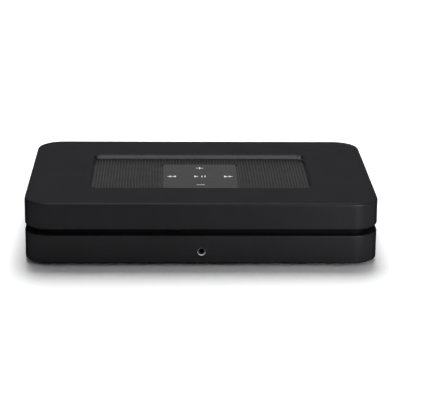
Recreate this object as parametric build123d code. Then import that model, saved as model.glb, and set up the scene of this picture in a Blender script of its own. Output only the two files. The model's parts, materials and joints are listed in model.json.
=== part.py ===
from build123d import *
import os

# A compact network music streamer, in millimetres.
# X runs to the right, Y to the back and Z up from the surface that it stands on.
# The origin lies on that surface, under the middle of the casings.

# Whole streamer
casing_width = 220.0
casing_depth = 146.0
corner_radius = 17.0
foot_height = 2.0
lower_height = 18.2
groove_height = 4.0
upper_height = 16.8
groove_depth = 5.0

# Clearances shared by all pieces
overrun = 1.0
seam = 0.3
slip = 0.05

# Casing mouldings
casing_wall = 2.4
roof_thickness = 2.4
deck_thickness = 2.4
flange_thickness = 1.6
band_thickness = 2.4
ledge_reach = 13.5
top_edge_radius = 1.5
rim_edge_radius = 0.8
least_corner_radius = 0.5

# Casing screws and the bosses that they bite into
screw_radius = 1.4
screw_head_radius = 2.7
screw_head_height = 1.8
screw_hole_clearance = 0.3
screw_bite = 7.0
boss_radius = 3.2
corner_screw_inset = 11.0
side_screw_share = 0.62
front_screw_share = 0.56
middle_screw_share = 0.36

# Small screws of the boards, the insert and the rear panel
small_screw_radius = 0.9
small_head_radius = 1.8
small_head_height = 1.1
small_bite = 2.2

# Recess in the roof
recess_width = 141.4
recess_length = 78.0
recess_corner_radius = 5.5
recess_drop = 3.0
recess_wall_run = 1.1
recess_frame_width = 11.0

# Ribbed insert that floors the recess
insert_thickness = 2.0
insert_margin = 8.0
insert_screw_margin = 4.2
rib_pitch = 1.9
rib_height = 0.5
rib_top_width = 0.8
rib_foot_width = 1.3

# Touch panel, its light guide and its board
touch_width = 48.4
touch_length = 55.2
touch_thickness = 1.3
touch_corner_radius = 1.0
touch_forward = 5.4
touch_proud = 0.1
touch_seat_ledge = 2.5
touch_board_margin = 4.6
touch_board_thickness = 1.0
touch_screw_inset = 2.3

# Infrared window in the groove and what stands behind it
ir_place = -17.8
ir_window_width = 7.5
ir_window_height = 2.2
ir_board_width = 13.0
ir_board_length = 9.0
ir_board_thickness = 1.0
ir_receiver_width = 6.8
ir_receiver_length = 3.6
ir_receiver_height = 2.6

# Base plate and feet
plate_thickness = 1.6
plate_recess = 0.6
foot_radius = 8.0
foot_inset = 25.0
foot_edge_radius = 0.6
vent_slot_length = 18.0
vent_slot_width = 2.4
vent_slot_pitch = 6.0
vent_slot_count = 9
vent_row_offset = 14.0
vent_centre_share = 0.2

# Rear bay and its panel
bay_side_margin = 26.0
bay_sill = 4.4
bay_height = 24.6
bay_depth = 10.0
bay_wall = 1.6
bay_setback = 0.4
bay_corner_radius = 2.2
panel_thickness = 1.5
ear_width = 10.5
ear_sill = 4.0
ear_height = 7.0

# Boards on the base plate
board_thickness = 1.6
standoff_height = 6.0
standoff_radius = 2.6
board_setback = 0.6
supply_board_side_gap = 16.0
supply_board_front_gap = 7.2
supply_board_socket_gap = 4.5
main_board_side_gap = 22.0
main_board_front_gap = 9.2
main_board_socket_margin = 0.5
board_screw_shares = ((-0.92, -0.92), (0.92, -0.92), (-0.92, 0.5), (0.92, 0.5))
insulation_thickness = 0.4
insulation_inset = 1.5

# Processor, memory, converter and the heat sink
chip_width = 17.0
chip_height = 1.6
pad_thickness = 0.8
memory_width = 9.0
memory_length = 13.0
memory_height = 1.1
converter_width = 9.0
sink_width = 40.0
sink_base = 2.4
sink_height = 11.0
sink_fin_thickness = 1.2
sink_fin_count = 8
sink_front_gap = 3.3
processor_share = -0.25
memory_shares = ((-0.25, 0.22), (0.02, -0.2))
converter_shares = (0.52, 0.1)

# Radio module, its two aerials and their leads
radio_width = 22.0
radio_length = 17.0
radio_height = 2.6
radio_side_gap = 19.0
radio_setback = 4.4
aerial_length = 42.0
aerial_height = 7.0
aerial_thickness = 0.8
aerial_lift = 2.0
lead_radius = 0.6
lead_bend = 4.0
lead_tail = 7.0
lead_level = 6.0
lead_sweep = 21.7

# Electrolytic capacitors on the main board
capacitor_radius = 3.2
capacitor_height = 8.4
capacitor_edge = 0.5
capacitor_shares = ((0.2, 0.34), (0.34, 0.34), (0.48, 0.34), (0.62, 0.34), (0.76, 0.34), (0.9, 0.34))

# Cable headers on the boards
header_width = 12.0
header_length = 5.0
header_height = 6.0
header_inset = 5.0
supply_header_share = -0.56
ribbon_width = 10.0
ribbon_thickness = 0.4
ribbon_bend = 2.0
ribbon_rise = 7.0
harness_width = 10.0
harness_thickness = 1.6
harness_bend = 3.0
harness_rise = 5.0

# Parts of the mains supply
transformer_width = 25.0
transformer_length = 24.0
transformer_height = 17.0
transformer_core_share = 0.56
transformer_shares = (-0.16, -0.3)
supply_capacitor_radii = (8.0, 4.0, 4.0)
supply_capacitor_heights = (19.0, 12.0, 12.0)
supply_capacitor_shares = ((-0.46, 0.2), (0.5, -0.8), (-0.1, -0.8))
filter_width = 13.0
filter_length = 13.0
filter_height = 15.0
filter_core_radius = 3.4
filter_shares = (0.53, 0.24)
fuse_radius = 2.6
fuse_length = 20.0
fuse_cap_length = 5.0
fuse_lift = 1.0
fuse_shares = (-0.68, 0.66)

# Free width of the socket row that lies in front of each socket, from the inlet to the last line output
socket_gap_shares = (0.087, 0.194, 0.087, 0.081, 0.047, 0.047, 0.066, 0.081, 0.078, 0.078, 0.078)

# Mains inlet with two round pins
inlet_width = 22.0
inlet_height = 13.4
inlet_depth = 20.0
inlet_proud = 0.4
inlet_lobe_radius = 4.3
inlet_web_height = 6.4
inlet_recess_depth = 13.0
inlet_pin_spacing = 8.6
inlet_pin_radius = 1.2
inlet_pin_setback = 2.5

# Network socket
ethernet_width = 16.0
ethernet_height = 13.6
ethernet_depth = 21.0
ethernet_proud = 0.4
port_width = 11.8
port_height = 7.2
port_depth = 13.0
port_floor = 4.2
latch_width = 6.2
latch_height = 1.5
latch_tip_width = 4.0

# Universal serial socket
usb_width = 13.2
usb_height = 6.4
usb_depth = 14.5
usb_shell = 0.4
usb_proud = 0.4
tongue_width = 11.0
tongue_thickness = 1.9
tongue_length = 8.6
tongue_drop = 0.5
usb_back_block = 1.0

# Round 3.5 mm sockets at the back and at the front
jack_width = 7.4
jack_height = 6.4
jack_depth = 15.0
jack_bore_radius = 1.8
jack_bore_depth = 13.0
jack_nose_radius = 2.9
jack_nose_proud = 0.6
jack_mouth_chamfer = 0.3
headphone_height = 8.0
headphone_board_width = 24.0
headphone_board_length = 20.0
headphone_standoff_inset = 2.8
ring_radius = 3.3
ring_mouth_radius = 2.7
ring_throat_depth = 0.9

# Optical socket with its sprung shutter
optical_width = 11.0
optical_height = 12.4
optical_depth = 14.0
optical_wall = 1.1
optical_proud = 0.4
optical_lip = 1.0
optical_opening = 7.6
optical_sill = 0.3
shutter_thickness = 0.8
shutter_gap = 0.3
shutter_overlap = 0.4
hinge_radius = 0.9
hinge_rise = 0.9
hinge_pin_radius = 0.45
shutter_spring_room = 1.5
spring_wire_radius = 0.1
spring_coil_radius = 0.68
spring_turns = 2
emitter_radius = 1.6

# Phono sockets
phono_width = 10.4
phono_height = 12.0
phono_depth = 12.0
phono_collar_radius = 5.1
phono_collar_proud = 0.8
phono_shell_radius = 4.15
phono_shell_inner_radius = 3.4
phono_shell_root_radius = 3.9
phono_shell_reach = 8.5
phono_insulator_setback = 1.0
phono_contact_radius = 1.95
phono_contact_bore = 1.65
phono_contact_setback = 0.4
phono_bore_depth = 10.0

# Levels and faces that the pieces share
lower_bottom = foot_height
lower_top = lower_bottom + lower_height
upper_bottom = lower_top + groove_height
upper_top = upper_bottom + upper_height
deck_underside = lower_top - deck_thickness
roof_underside = upper_top - roof_thickness
flange_top = upper_bottom + flange_thickness
insert_top = upper_top - recess_drop
insert_bottom = insert_top - insert_thickness
touch_top = insert_top + rib_height + touch_proud
touch_bottom = touch_top - touch_thickness
plate_bottom = lower_bottom + plate_recess
plate_top = plate_bottom + plate_thickness
board_bottom = plate_top + standoff_height
board_top = board_bottom + board_thickness
rear_face = casing_depth / 2
front_face = -rear_face
panel_face = rear_face - bay_depth
panel_back = panel_face - panel_thickness
bay_bottom = lower_bottom + bay_sill
bay_top = bay_bottom + bay_height
bay_width = casing_width - 2 * bay_side_margin
bay_half = bay_width / 2
ear_z = bay_bottom + ear_sill + ear_height / 2
column_inset = groove_depth + band_thickness / 2 + boss_radius
screw_hole_radius = screw_radius + screw_hole_clearance
centred = (Align.CENTER, Align.CENTER, Align.MIN)


def block(width, length, height, x=0, y=0, z=0):
    """A square block centred on x and y that stands on z."""
    return Pos(x, y, z) * Box(width, length, height, align=centred)


def rounded_block(width, length, height, radius, x=0, y=0, z=0):
    """A block with rounded upright corners, centred on x and y, that stands on z."""
    outline = Pos(x, y, z) * RectangleRounded(width, length, radius)
    return extrude(outline, amount=height)


def inset_block(inset, height, z):
    """A block with the casings' outline drawn in by inset."""
    radius = max(corner_radius - inset, least_corner_radius)
    return rounded_block(casing_width - 2 * inset, casing_depth - 2 * inset, height, radius, z=z)


def post(radius, height, x, y, z):
    """An upright round post that stands on z."""
    return Pos(x, y, z) * Cylinder(radius, height, align=centred)


def rod(radius, length, x, y, z):
    """A round rod that runs back from y."""
    return Pos(x, y, z) * Rot(-90, 0, 0) * Cylinder(radius, length, align=centred)


def rear_block(width, height, length, x, front, z):
    """A block that runs back from front, centred on x and z."""
    return Pos(x, front + length / 2, z) * Box(width, length, height)


def rounded_rear_block(width, height, length, radius, x, front, z):
    """A block with rounded corners seen from behind, that runs back from front."""
    outline = Pos(x, front, z) * Rot(-90, 0, 0) * RectangleRounded(width, height, radius)
    return extrude(outline, amount=length)


def group(solids):
    """Separate solids kept in one node."""
    return Compound([solid for item in solids for solid in item.solids()])


def mirrored_places(x, y):
    """Four places, mirrored to both sides and both ends."""
    return [(x, y), (-x, y), (x, -y), (-x, -y)]


def board_outline(left, right, front):
    """A board's width, depth and centre, with its rear edge just inside the rear panel."""
    rear = panel_back - board_setback
    return right - left, rear - front, (left + right) / 2, (front + rear) / 2


def socket_row():
    """Each socket's middle along the rear panel, with the free width shared out between them."""
    widths = {
        "inlet": inlet_width,
        "ethernet": ethernet_width,
        "usb": usb_width,
        "trigger": jack_width,
        "ir_input": jack_width,
        "combined_input": jack_width,
        "optical": optical_width,
        "coaxial": phono_width,
        "subwoofer": phono_width,
        "line_right": phono_width,
        "line_left": phono_width,
    }
    free = bay_width - 2 * bay_wall - sum(widths.values())
    edge = bay_wall - bay_half
    middles = {}
    for (name, width), share in zip(widths.items(), socket_gap_shares):
        edge = edge + share * free
        middles[name] = edge + width / 2
        edge = edge + width
    return middles


def on_board(board, shares):
    """The place at these shares of a board's half width and half depth from its centre."""
    width, depth, x, y = board
    across_share, along_share = shares
    return x + across_share * width / 2, y + along_share * depth / 2


socket_x = socket_row()
jack_names = ("trigger", "ir_input", "combined_input")
phono_names = ("coaxial", "subwoofer", "line_right", "line_left")

headphone_z = lower_bottom + headphone_height
headphone_board_top = headphone_z - jack_height / 2
headphone_board_bottom = headphone_board_top - board_thickness
headphone_front = front_face + casing_wall + seam
headphone_board_y = headphone_front + headphone_board_length / 2
headphone_board_rear = headphone_front + headphone_board_length
headphone_screw_places = [
    (side * (headphone_board_width / 2 - headphone_standoff_inset), headphone_board_y)
    for side in (1, -1)
]

network_side = socket_x["ethernet"] - ethernet_width / 2
main_board_outline = board_outline(
    network_side - main_board_socket_margin,
    casing_width / 2 - main_board_side_gap,
    headphone_board_rear + main_board_front_gap,
)
supply_board_outline = board_outline(
    supply_board_side_gap - casing_width / 2,
    network_side - supply_board_socket_gap,
    headphone_board_rear + supply_board_front_gap,
)
main_screw_places = [on_board(main_board_outline, shares) for shares in board_screw_shares]
supply_screw_places = [on_board(supply_board_outline, shares) for shares in board_screw_shares]

front_screw_places = [
    (front_screw_share * casing_width / 2, front_face + column_inset),
    (-front_screw_share * casing_width / 2, front_face + column_inset),
]
casing_screw_places = front_screw_places + mirrored_places(
    casing_width / 2 - column_inset, side_screw_share * casing_depth / 2
)
base_screw_places = [
    (middle_screw_share * casing_width / 2, front_face + column_inset),
    (-middle_screw_share * casing_width / 2, front_face + column_inset),
] + mirrored_places(casing_width / 2 - corner_screw_inset, casing_depth / 2 - corner_screw_inset)

foot_places = mirrored_places(casing_width / 2 - foot_inset, casing_depth / 2 - foot_inset)
insert_screw_x = recess_width / 2 + insert_screw_margin
insert_screw_y = recess_length / 2 + insert_screw_margin
insert_screw_places = mirrored_places(insert_screw_x, recess_length / 4) + mirrored_places(
    recess_width / 4, insert_screw_y
)
touch_screw_x = touch_width / 2 + touch_board_margin - touch_screw_inset - touch_seat_ledge
touch_screw_y = touch_length / 2 + touch_board_margin - touch_screw_inset - touch_seat_ledge
touch_screw_places = [(x, y - touch_forward) for x, y in mirrored_places(touch_screw_x, touch_screw_y)]


def screw_up(x, y, z, radius, head_radius, head_height, length):
    """A pan-head screw driven upwards, with its head under z."""
    return post(head_radius, head_height, x, y, z - head_height) + post(radius, length, x, y, z)


def screw_down(x, y, z, radius, head_radius, head_height, length):
    """A pan-head screw driven downwards, with its head on z."""
    return post(head_radius, head_height, x, y, z) + post(radius, length, x, y, z - length)


def bay_cut(bottom, top):
    """The space that the rear tray takes out of the casings between two levels."""
    width = bay_width + 2 * seam
    front = rear_face - ledge_reach - overrun
    return block(width, ledge_reach + 2 * overrun, top - bottom, 0, front + ledge_reach / 2 + overrun, bottom)


def recess_cut():
    """The recess with its sloped walls, from the roof down to the insert."""
    rim = Pos(0, 0, upper_top) * RectangleRounded(recess_width, recess_length, recess_corner_radius)
    floor_width = recess_width - 2 * recess_wall_run
    floor_length = recess_length - 2 * recess_wall_run
    floor_radius = recess_corner_radius - recess_wall_run
    foot = Pos(0, 0, insert_top) * RectangleRounded(floor_width, floor_length, floor_radius)
    return loft([foot, rim], ruled=True)


def upper_casing():
    """The upper shell: rounded slab, hollow from below, with the recess and its screw bosses."""
    shell = inset_block(0, upper_height, upper_bottom)
    shell = fillet(shell.edges().group_by(Axis.Z)[-1], top_edge_radius)
    shell = fillet(shell.edges().group_by(Axis.Z)[0], rim_edge_radius)
    shell = shell - inset_block(casing_wall, roof_underside - upper_bottom, upper_bottom)
    frame_width = recess_width + 2 * recess_frame_width
    frame_length = recess_length + 2 * recess_frame_width
    frame_radius = recess_corner_radius + recess_frame_width
    frame_height = upper_top - insert_top - roof_thickness / 2
    shell = shell + rounded_block(frame_width, frame_length, frame_height, frame_radius, z=insert_top)
    boss_height = upper_top - roof_thickness / 2 - flange_top
    shell = shell + [post(boss_radius, boss_height, x, y, flange_top) for x, y in casing_screw_places]
    pilot = screw_radius + slip
    shell = shell - [post(pilot, screw_bite + overrun, x, y, flange_top) for x, y in casing_screw_places]
    shell = shell - recess_cut()
    small_pilot = small_screw_radius + slip
    shell = shell - [post(small_pilot, small_bite, x, y, insert_top) for x, y in insert_screw_places]
    return shell - bay_cut(upper_bottom - overrun, bay_top + seam)


def rib_comb(width, length):
    """The ribs side by side, each a low trapezium that runs from front to back."""
    count = int((width - rib_foot_width) / rib_pitch) + 1
    profile = Polyline(
        (-rib_foot_width / 2, 0),
        (rib_foot_width / 2, 0),
        (rib_top_width / 2, rib_height),
        (-rib_top_width / 2, rib_height),
        close=True,
    )
    rib = extrude(Rot(90, 0, 0) * make_face(profile), amount=length / 2, both=True)
    first = -(count - 1) * rib_pitch / 2
    return [Pos(first + i * rib_pitch, 0, insert_top) * rib for i in range(count)]


def ribbed_insert():
    """The floor of the recess: a plate with fine ribs, and a seat and window for the touch panel."""
    plate = rounded_block(
        recess_width + 2 * insert_margin,
        recess_length + 2 * insert_margin,
        insert_thickness,
        recess_corner_radius + insert_margin,
        z=insert_bottom,
    )
    floor_width = recess_width - 2 * recess_wall_run - 2 * seam
    floor_length = recess_length - 2 * recess_wall_run - 2 * seam
    floor_radius = recess_corner_radius - recess_wall_run
    room = rounded_block(floor_width, floor_length, rib_height, floor_radius, z=insert_top)
    ribs = Part() + rib_comb(floor_width, floor_length)
    insert = plate + (ribs & room)
    seat_height = touch_top + overrun - touch_bottom
    seat = rounded_block(
        touch_width + 2 * seam,
        touch_length + 2 * seam,
        seat_height,
        touch_corner_radius + seam,
        y=-touch_forward,
        z=touch_bottom,
    )
    window = block(
        touch_width - 2 * touch_seat_ledge,
        touch_length - 2 * touch_seat_ledge,
        insert_thickness + 2 * overrun,
        y=-touch_forward,
        z=insert_bottom - overrun,
    )
    insert = insert - seat - window
    hole = small_screw_radius + screw_hole_clearance
    height = insert_thickness + 2 * overrun
    insert = insert - [post(hole, height, x, y, insert_bottom - overrun) for x, y in insert_screw_places]
    pilot = small_screw_radius + slip
    depth = insert_thickness / 2 + slip
    return insert - [post(pilot, depth, x, y, insert_bottom) for x, y in touch_screw_places]


def touch_panel():
    """The flat touch plate that carries the lit marks."""
    return rounded_block(
        touch_width, touch_length, touch_thickness, touch_corner_radius, y=-touch_forward, z=touch_bottom
    )


def touch_light_guide():
    """The clear plate under the touch panel that spreads the light of the marks."""
    width = touch_width - 2 * touch_seat_ledge - 2 * seam
    length = touch_length - 2 * touch_seat_ledge - 2 * seam
    return block(width, length, touch_bottom - insert_bottom, y=-touch_forward, z=insert_bottom)


def touch_board():
    """The circuit board with the touch electrodes, screwed under the insert."""
    width = touch_width + 2 * (touch_board_margin - touch_seat_ledge)
    length = touch_length + 2 * (touch_board_margin - touch_seat_ledge)
    bottom = insert_bottom - touch_board_thickness
    board = block(width, length, touch_board_thickness, y=-touch_forward, z=bottom)
    hole = small_screw_radius + screw_hole_clearance
    height = touch_board_thickness + 2 * overrun
    return board - [post(hole, height, x, y, bottom - overrun) for x, y in touch_screw_places]


def insert_screws():
    """The small screws that hold the insert to the casing and the touch board to the insert."""
    outer = [
        screw_up(x, y, insert_bottom, small_screw_radius, small_head_radius, small_head_height,
                 insert_thickness + small_bite - seam)
        for x, y in insert_screw_places
    ]
    bottom = insert_bottom - touch_board_thickness
    inner = [
        screw_up(x, y, bottom, small_screw_radius, small_head_radius, small_head_height,
                 touch_board_thickness + insert_thickness / 2)
        for x, y in touch_screw_places
    ]
    return group(outer + inner)


def waist_frame():
    """The recessed band between the casings, with the flange that closes the upper one from below."""
    band = inset_block(groove_depth, groove_height, lower_top)
    band = band - inset_block(groove_depth + band_thickness, groove_height, lower_top)
    flange = inset_block(casing_wall + seam, flange_thickness, upper_bottom)
    flange = flange - inset_block(ledge_reach, flange_thickness, upper_bottom)
    frame = band + flange
    height = flange_top - lower_top
    frame = frame + [post(boss_radius, height, x, y, lower_top) for x, y in casing_screw_places]
    start = lower_top - overrun
    height = height + 2 * overrun
    frame = frame - [post(screw_hole_radius, height, x, y, start) for x, y in casing_screw_places]
    frame = frame - ir_window_shape(seam, overrun)
    return frame - bay_cut(lower_top - overrun, flange_top + overrun)


def ir_window_shape(gap, extra):
    """The pill-shaped window, wider by gap all round and longer by extra at both ends."""
    front = front_face + groove_depth - extra
    length = ledge_reach - groove_depth + 2 * extra
    width = ir_window_width + 2 * gap
    height = ir_window_height + 2 * gap
    centre_z = (lower_top + upper_bottom) / 2
    outline = Pos(ir_place, front, centre_z) * Rot(-90, 0, 0) * SlotOverall(width, height)
    return extrude(outline, amount=length)


def ir_window():
    """The dark window and light pipe that lead the remote control's light to the receiver."""
    return ir_window_shape(0, 0)


def ir_board_y():
    """The middle of the receiver's board, from front to back."""
    return front_face + ledge_reach + ir_board_length / 2


def ir_board():
    """The receiver's own small board, on a tongue of the lower casing's deck."""
    board = block(ir_board_width, ir_board_length, ir_board_thickness, ir_place, ir_board_y(), lower_top)
    hole = small_screw_radius + screw_hole_clearance
    height = ir_board_thickness + 2 * overrun
    return board - post(hole, height, *ir_screw_place(), lower_top - overrun)


def ir_screw_place():
    """The screw behind the receiver."""
    return ir_place, ir_board_y() + ir_board_length / 2 - small_head_radius - seam


def ir_board_screw():
    """The screw that holds the receiver's board to the deck."""
    x, y = ir_screw_place()
    length = ir_board_thickness + deck_thickness - seam
    return screw_down(x, y, lower_top + ir_board_thickness, small_screw_radius, small_head_radius,
                      small_head_height, length)


def ir_receiver():
    """The receiver right behind the window's light pipe, with its top edges chamfered."""
    front = front_face + ledge_reach + seam
    middle = front + ir_receiver_length / 2
    bottom = lower_top + ir_board_thickness
    body = block(ir_receiver_width, ir_receiver_length, ir_receiver_height, ir_place, middle, bottom)
    return chamfer(body.edges().group_by(Axis.Z)[-1], seam)


def lower_casing():
    """The lower shell: open below, with a deck on top that carries the waist frame."""
    shell = inset_block(0, lower_height, lower_bottom)
    shell = fillet(shell.edges().group_by(Axis.Z)[-1], rim_edge_radius)
    shell = fillet(shell.edges().group_by(Axis.Z)[0], rim_edge_radius)
    shell = shell - inset_block(casing_wall, deck_underside - lower_bottom, lower_bottom)
    shell = shell - inset_block(ledge_reach, deck_thickness + 2 * overrun, deck_underside - overrun)
    tongue_front = front_face + ledge_reach - overrun
    tongue_length = ir_board_length + overrun
    tongue_y = tongue_front + tongue_length / 2
    shell = shell + block(ir_board_width, tongue_length, deck_thickness, ir_place, tongue_y, deck_underside)
    shell = shell - post(small_screw_radius + slip, deck_thickness + 2 * overrun, *ir_screw_place(),
                         deck_underside - overrun)
    boss_height = deck_underside + deck_thickness / 2 - plate_top
    shell = shell + [post(boss_radius, boss_height, x, y, plate_top) for x, y in base_screw_places]
    pilot = screw_radius + slip
    shell = shell - [post(pilot, screw_bite + overrun, x, y, plate_top) for x, y in base_screw_places]
    start = deck_underside - overrun
    height = deck_thickness + 2 * overrun
    shell = shell - [post(screw_hole_radius, height, x, y, start) for x, y in casing_screw_places]
    boss_length = rear_face - casing_wall / 2 - panel_face
    shell = shell + [rod(boss_radius, boss_length, x, panel_face, z) for x, z in ear_screw_places()]
    small_pilot = small_screw_radius + slip
    bite = rear_face - casing_wall - panel_face
    shell = shell - [rod(small_pilot, bite, x, panel_face, z) for x, z in ear_screw_places()]
    shell = shell - rod(ring_radius + slip, casing_wall + 2 * overrun, 0, front_face - overrun, headphone_z)
    return shell - bay_cut(bay_bottom - seam, lower_top + overrun)


def ear_screw_places():
    """The two screws at the rear panel's ears, as x and z."""
    return [(side * (bay_half + ear_width / 2), ear_z) for side in (1, -1)]


def casing_screws():
    """The long screws that clamp the two casings and the waist frame together."""
    length = deck_thickness + groove_height + flange_thickness + screw_bite
    return group(
        screw_up(x, y, deck_underside, screw_radius, screw_head_radius, screw_head_height, length)
        for x, y in casing_screw_places
    )


def base_plate():
    """The steel plate that closes the underside and carries the boards on pressed standoffs."""
    plate = inset_block(casing_wall + seam, plate_thickness, plate_bottom)
    start = plate_bottom - overrun
    height = plate_thickness + 2 * overrun
    plate = plate - [post(screw_hole_radius, height, x, y, start) for x, y in base_screw_places]
    plate = plate - vent_slots()
    stand = [post(standoff_radius, standoff_height, x, y, plate_top)
             for x, y in main_screw_places + supply_screw_places]
    low_height = headphone_board_bottom - plate_top
    stand = stand + [post(standoff_radius, low_height, x, y, plate_top) for x, y in headphone_screw_places]
    plate = plate + stand
    pilot = small_screw_radius + slip
    depth = standoff_height + plate_thickness / 2
    places = main_screw_places + supply_screw_places + headphone_screw_places
    return plate - [post(pilot, depth, x, y, plate_bottom + plate_thickness / 2) for x, y in places]


def vent_slots():
    """Two rows of round-ended slots in the base plate, under the main board."""
    first = -(vent_slot_count - 1) * vent_slot_pitch / 2 + vent_centre_share * casing_width / 2
    height = plate_thickness + 2 * overrun
    slots = []
    for row in (-1, 1):
        for i in range(vent_slot_count):
            place = Pos(first + i * vent_slot_pitch, row * vent_row_offset, plate_bottom - overrun)
            outline = place * Rot(0, 0, 90) * SlotOverall(vent_slot_length, vent_slot_width)
            slots.append(extrude(outline, amount=height))
    return slots


def rubber_feet():
    """The four round feet under the base plate."""
    feet = []
    for x, y in foot_places:
        foot = post(foot_radius, plate_bottom, x, y, 0)
        feet.append(fillet(foot.edges().group_by(Axis.Z)[0], foot_edge_radius))
    return group(feet)


def base_screws():
    """The screws that hold the base plate to the lower casing."""
    length = plate_thickness + screw_bite
    return group(
        screw_up(x, y, plate_bottom, screw_radius, screw_head_radius, screw_head_height, length)
        for x, y in base_screw_places
    )


def panel_holes():
    """The openings in the rear panel, each a seam larger than its socket."""
    front = panel_back - overrun
    length = panel_thickness + 2 * overrun
    boxes = (
        ("inlet", inlet_width, inlet_height),
        ("ethernet", ethernet_width, ethernet_height),
        ("usb", usb_width, usb_height),
        ("optical", optical_width, optical_height),
    )
    holes = []
    for name, width, height in boxes:
        z = board_top + height / 2
        holes.append(rear_block(width + 2 * seam, height + 2 * seam, length, socket_x[name], front, z))
    for name in jack_names:
        z = board_top + jack_height / 2
        holes.append(rod(jack_nose_radius + seam, length, socket_x[name], front, z))
    for name in phono_names:
        z = board_top + phono_height / 2
        holes.append(rod(phono_collar_radius + seam, length, socket_x[name], front, z))
    return holes


def rear_panel():
    """The rear panel: a flat plate at the bottom of a tray that lines the bay, with two ears."""
    middle = (bay_bottom + bay_top) / 2
    length = rear_face - bay_setback - panel_back
    tray = rounded_rear_block(bay_width, bay_height, length, bay_corner_radius, 0, panel_back, middle)
    inner_radius = bay_corner_radius - bay_wall
    inner_length = length - panel_thickness + overrun
    tray = tray - rounded_rear_block(
        bay_width - 2 * bay_wall, bay_height - 2 * bay_wall, inner_length, inner_radius, 0, panel_face, middle
    )
    ear_reach = ear_width + bay_wall
    for side in (1, -1):
        x = side * (bay_half + ear_width - ear_reach / 2)
        tray = tray + rear_block(ear_reach, ear_height, panel_thickness, x, panel_back, ear_z)
    hole = small_screw_radius + screw_hole_clearance
    depth = panel_thickness + 2 * overrun
    tray = tray - [rod(hole, depth, x, panel_back - overrun, z) for x, z in ear_screw_places()]
    return tray - panel_holes()


def rear_panel_screws():
    """The screws through the panel's ears into the lower casing."""
    length = rear_face - casing_wall - seam - panel_back
    return group(
        rod(small_head_radius, small_head_height, x, panel_back - small_head_height, z)
        + rod(small_screw_radius, length, x, panel_back, z)
        for x, z in ear_screw_places()
    )


def drilled_board(outline, places, bottom, thickness):
    """A circuit board with a clearance hole at each screw."""
    width, depth, x, y = outline
    board = block(width, depth, thickness, x, y, bottom)
    hole = small_screw_radius + screw_hole_clearance
    return board - [post(hole, thickness + 2 * overrun, px, py, bottom - overrun) for px, py in places]


def main_board():
    """The main circuit board, behind all sockets but the mains inlet."""
    return drilled_board(main_board_outline, main_screw_places, board_bottom, board_thickness)


def supply_board():
    """The mains supply's board."""
    return drilled_board(supply_board_outline, supply_screw_places, board_bottom, board_thickness)


def headphone_board():
    """The small board that carries the headphone socket."""
    outline = (headphone_board_width, headphone_board_length, 0, headphone_board_y)
    return drilled_board(outline, headphone_screw_places, headphone_board_bottom, board_thickness)


def board_screws():
    """The screws that hold all the boards down on their standoffs."""
    levels = [(place, board_top) for place in main_screw_places + supply_screw_places]
    levels = levels + [(place, headphone_board_top) for place in headphone_screw_places]
    low_length = headphone_board_top - plate_top + plate_thickness / 2 - seam
    return group(
        screw_down(x, y, z, small_screw_radius, small_head_radius, small_head_height, low_length)
        for (x, y), z in levels
    )


def insulation_sheet():
    """The plastic film that lies on the base plate under the mains supply."""
    width, depth, x, y = supply_board_outline
    width = width - 2 * insulation_inset
    depth = depth - 2 * insulation_inset
    sheet = block(width, depth, insulation_thickness, x, y, plate_top)
    hole = standoff_radius + seam
    height = insulation_thickness + 2 * overrun
    return sheet - [post(hole, height, px, py, plate_top - overrun) for px, py in supply_screw_places]


def processor_place():
    """The processor's middle: its heat sink stands just behind the touch board's header."""
    width, depth, x, y = main_board_outline
    header_x, header_y = header_places()["touch"]
    front = header_y + header_length / 2 + sink_front_gap
    return x + processor_share * width / 2, front + sink_width / 2


def processor_chip():
    """The main processor."""
    x, y = processor_place()
    return block(chip_width, chip_width, chip_height, x, y, board_top)


def board_chips():
    """Memory chips and the audio converter, as separate solids."""
    chips = []
    for shares in memory_shares:
        x, y = on_board(main_board_outline, shares)
        chips.append(block(memory_width, memory_length, memory_height, x, y, board_top))
    x, y = on_board(main_board_outline, converter_shares)
    chips.append(block(converter_width, converter_width, memory_height, x, y, board_top))
    return group(chips)


def thermal_pad():
    """The soft pad between the processor and its heat sink."""
    x, y = processor_place()
    return block(chip_width, chip_width, pad_thickness, x, y, board_top + chip_height)


def heat_sink():
    """The extruded heat sink: upright fins on a base."""
    x, y = processor_place()
    z = board_top + chip_height + pad_thickness
    sink = block(sink_width, sink_width, sink_base, x, y, z)
    pitch = (sink_width - sink_fin_thickness) / (sink_fin_count - 1)
    left = x - sink_width / 2 + sink_fin_thickness / 2
    places = [left + i * pitch for i in range(sink_fin_count)]
    return sink + [block(sink_fin_thickness, sink_width, sink_height, place, y, z) for place in places]


def radio_place():
    """The radio module's middle, near the board's side and level with the touch ribbon."""
    width, depth, x, y = main_board_outline
    header_x, header_y = header_places()["touch"]
    return x + width / 2 - radio_side_gap, header_y + radio_setback


def radio_module():
    """The wireless module under its screening can."""
    x, y = radio_place()
    can = block(radio_width, radio_length, radio_height, x, y, board_top)
    return fillet(can.edges().group_by(Axis.Z)[-1], seam)


def aerials():
    """The two flat aerials on the inside of the upper casing's side walls."""
    x = casing_width / 2 - casing_wall - aerial_thickness / 2
    y = radio_place()[1] + lead_sweep
    z = flange_top + aerial_lift
    return group(
        block(aerial_thickness, aerial_length, aerial_height, side * x, y, z) for side in (1, -1)
    )


def tube(points, radius, bend):
    """A round lead along straight runs joined by arcs."""
    path = FilletPolyline(*points, radius=bend)
    profile = Plane(path @ 0, z_dir=path % 0) * Circle(radius)
    return sweep(profile, path=path)


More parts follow.
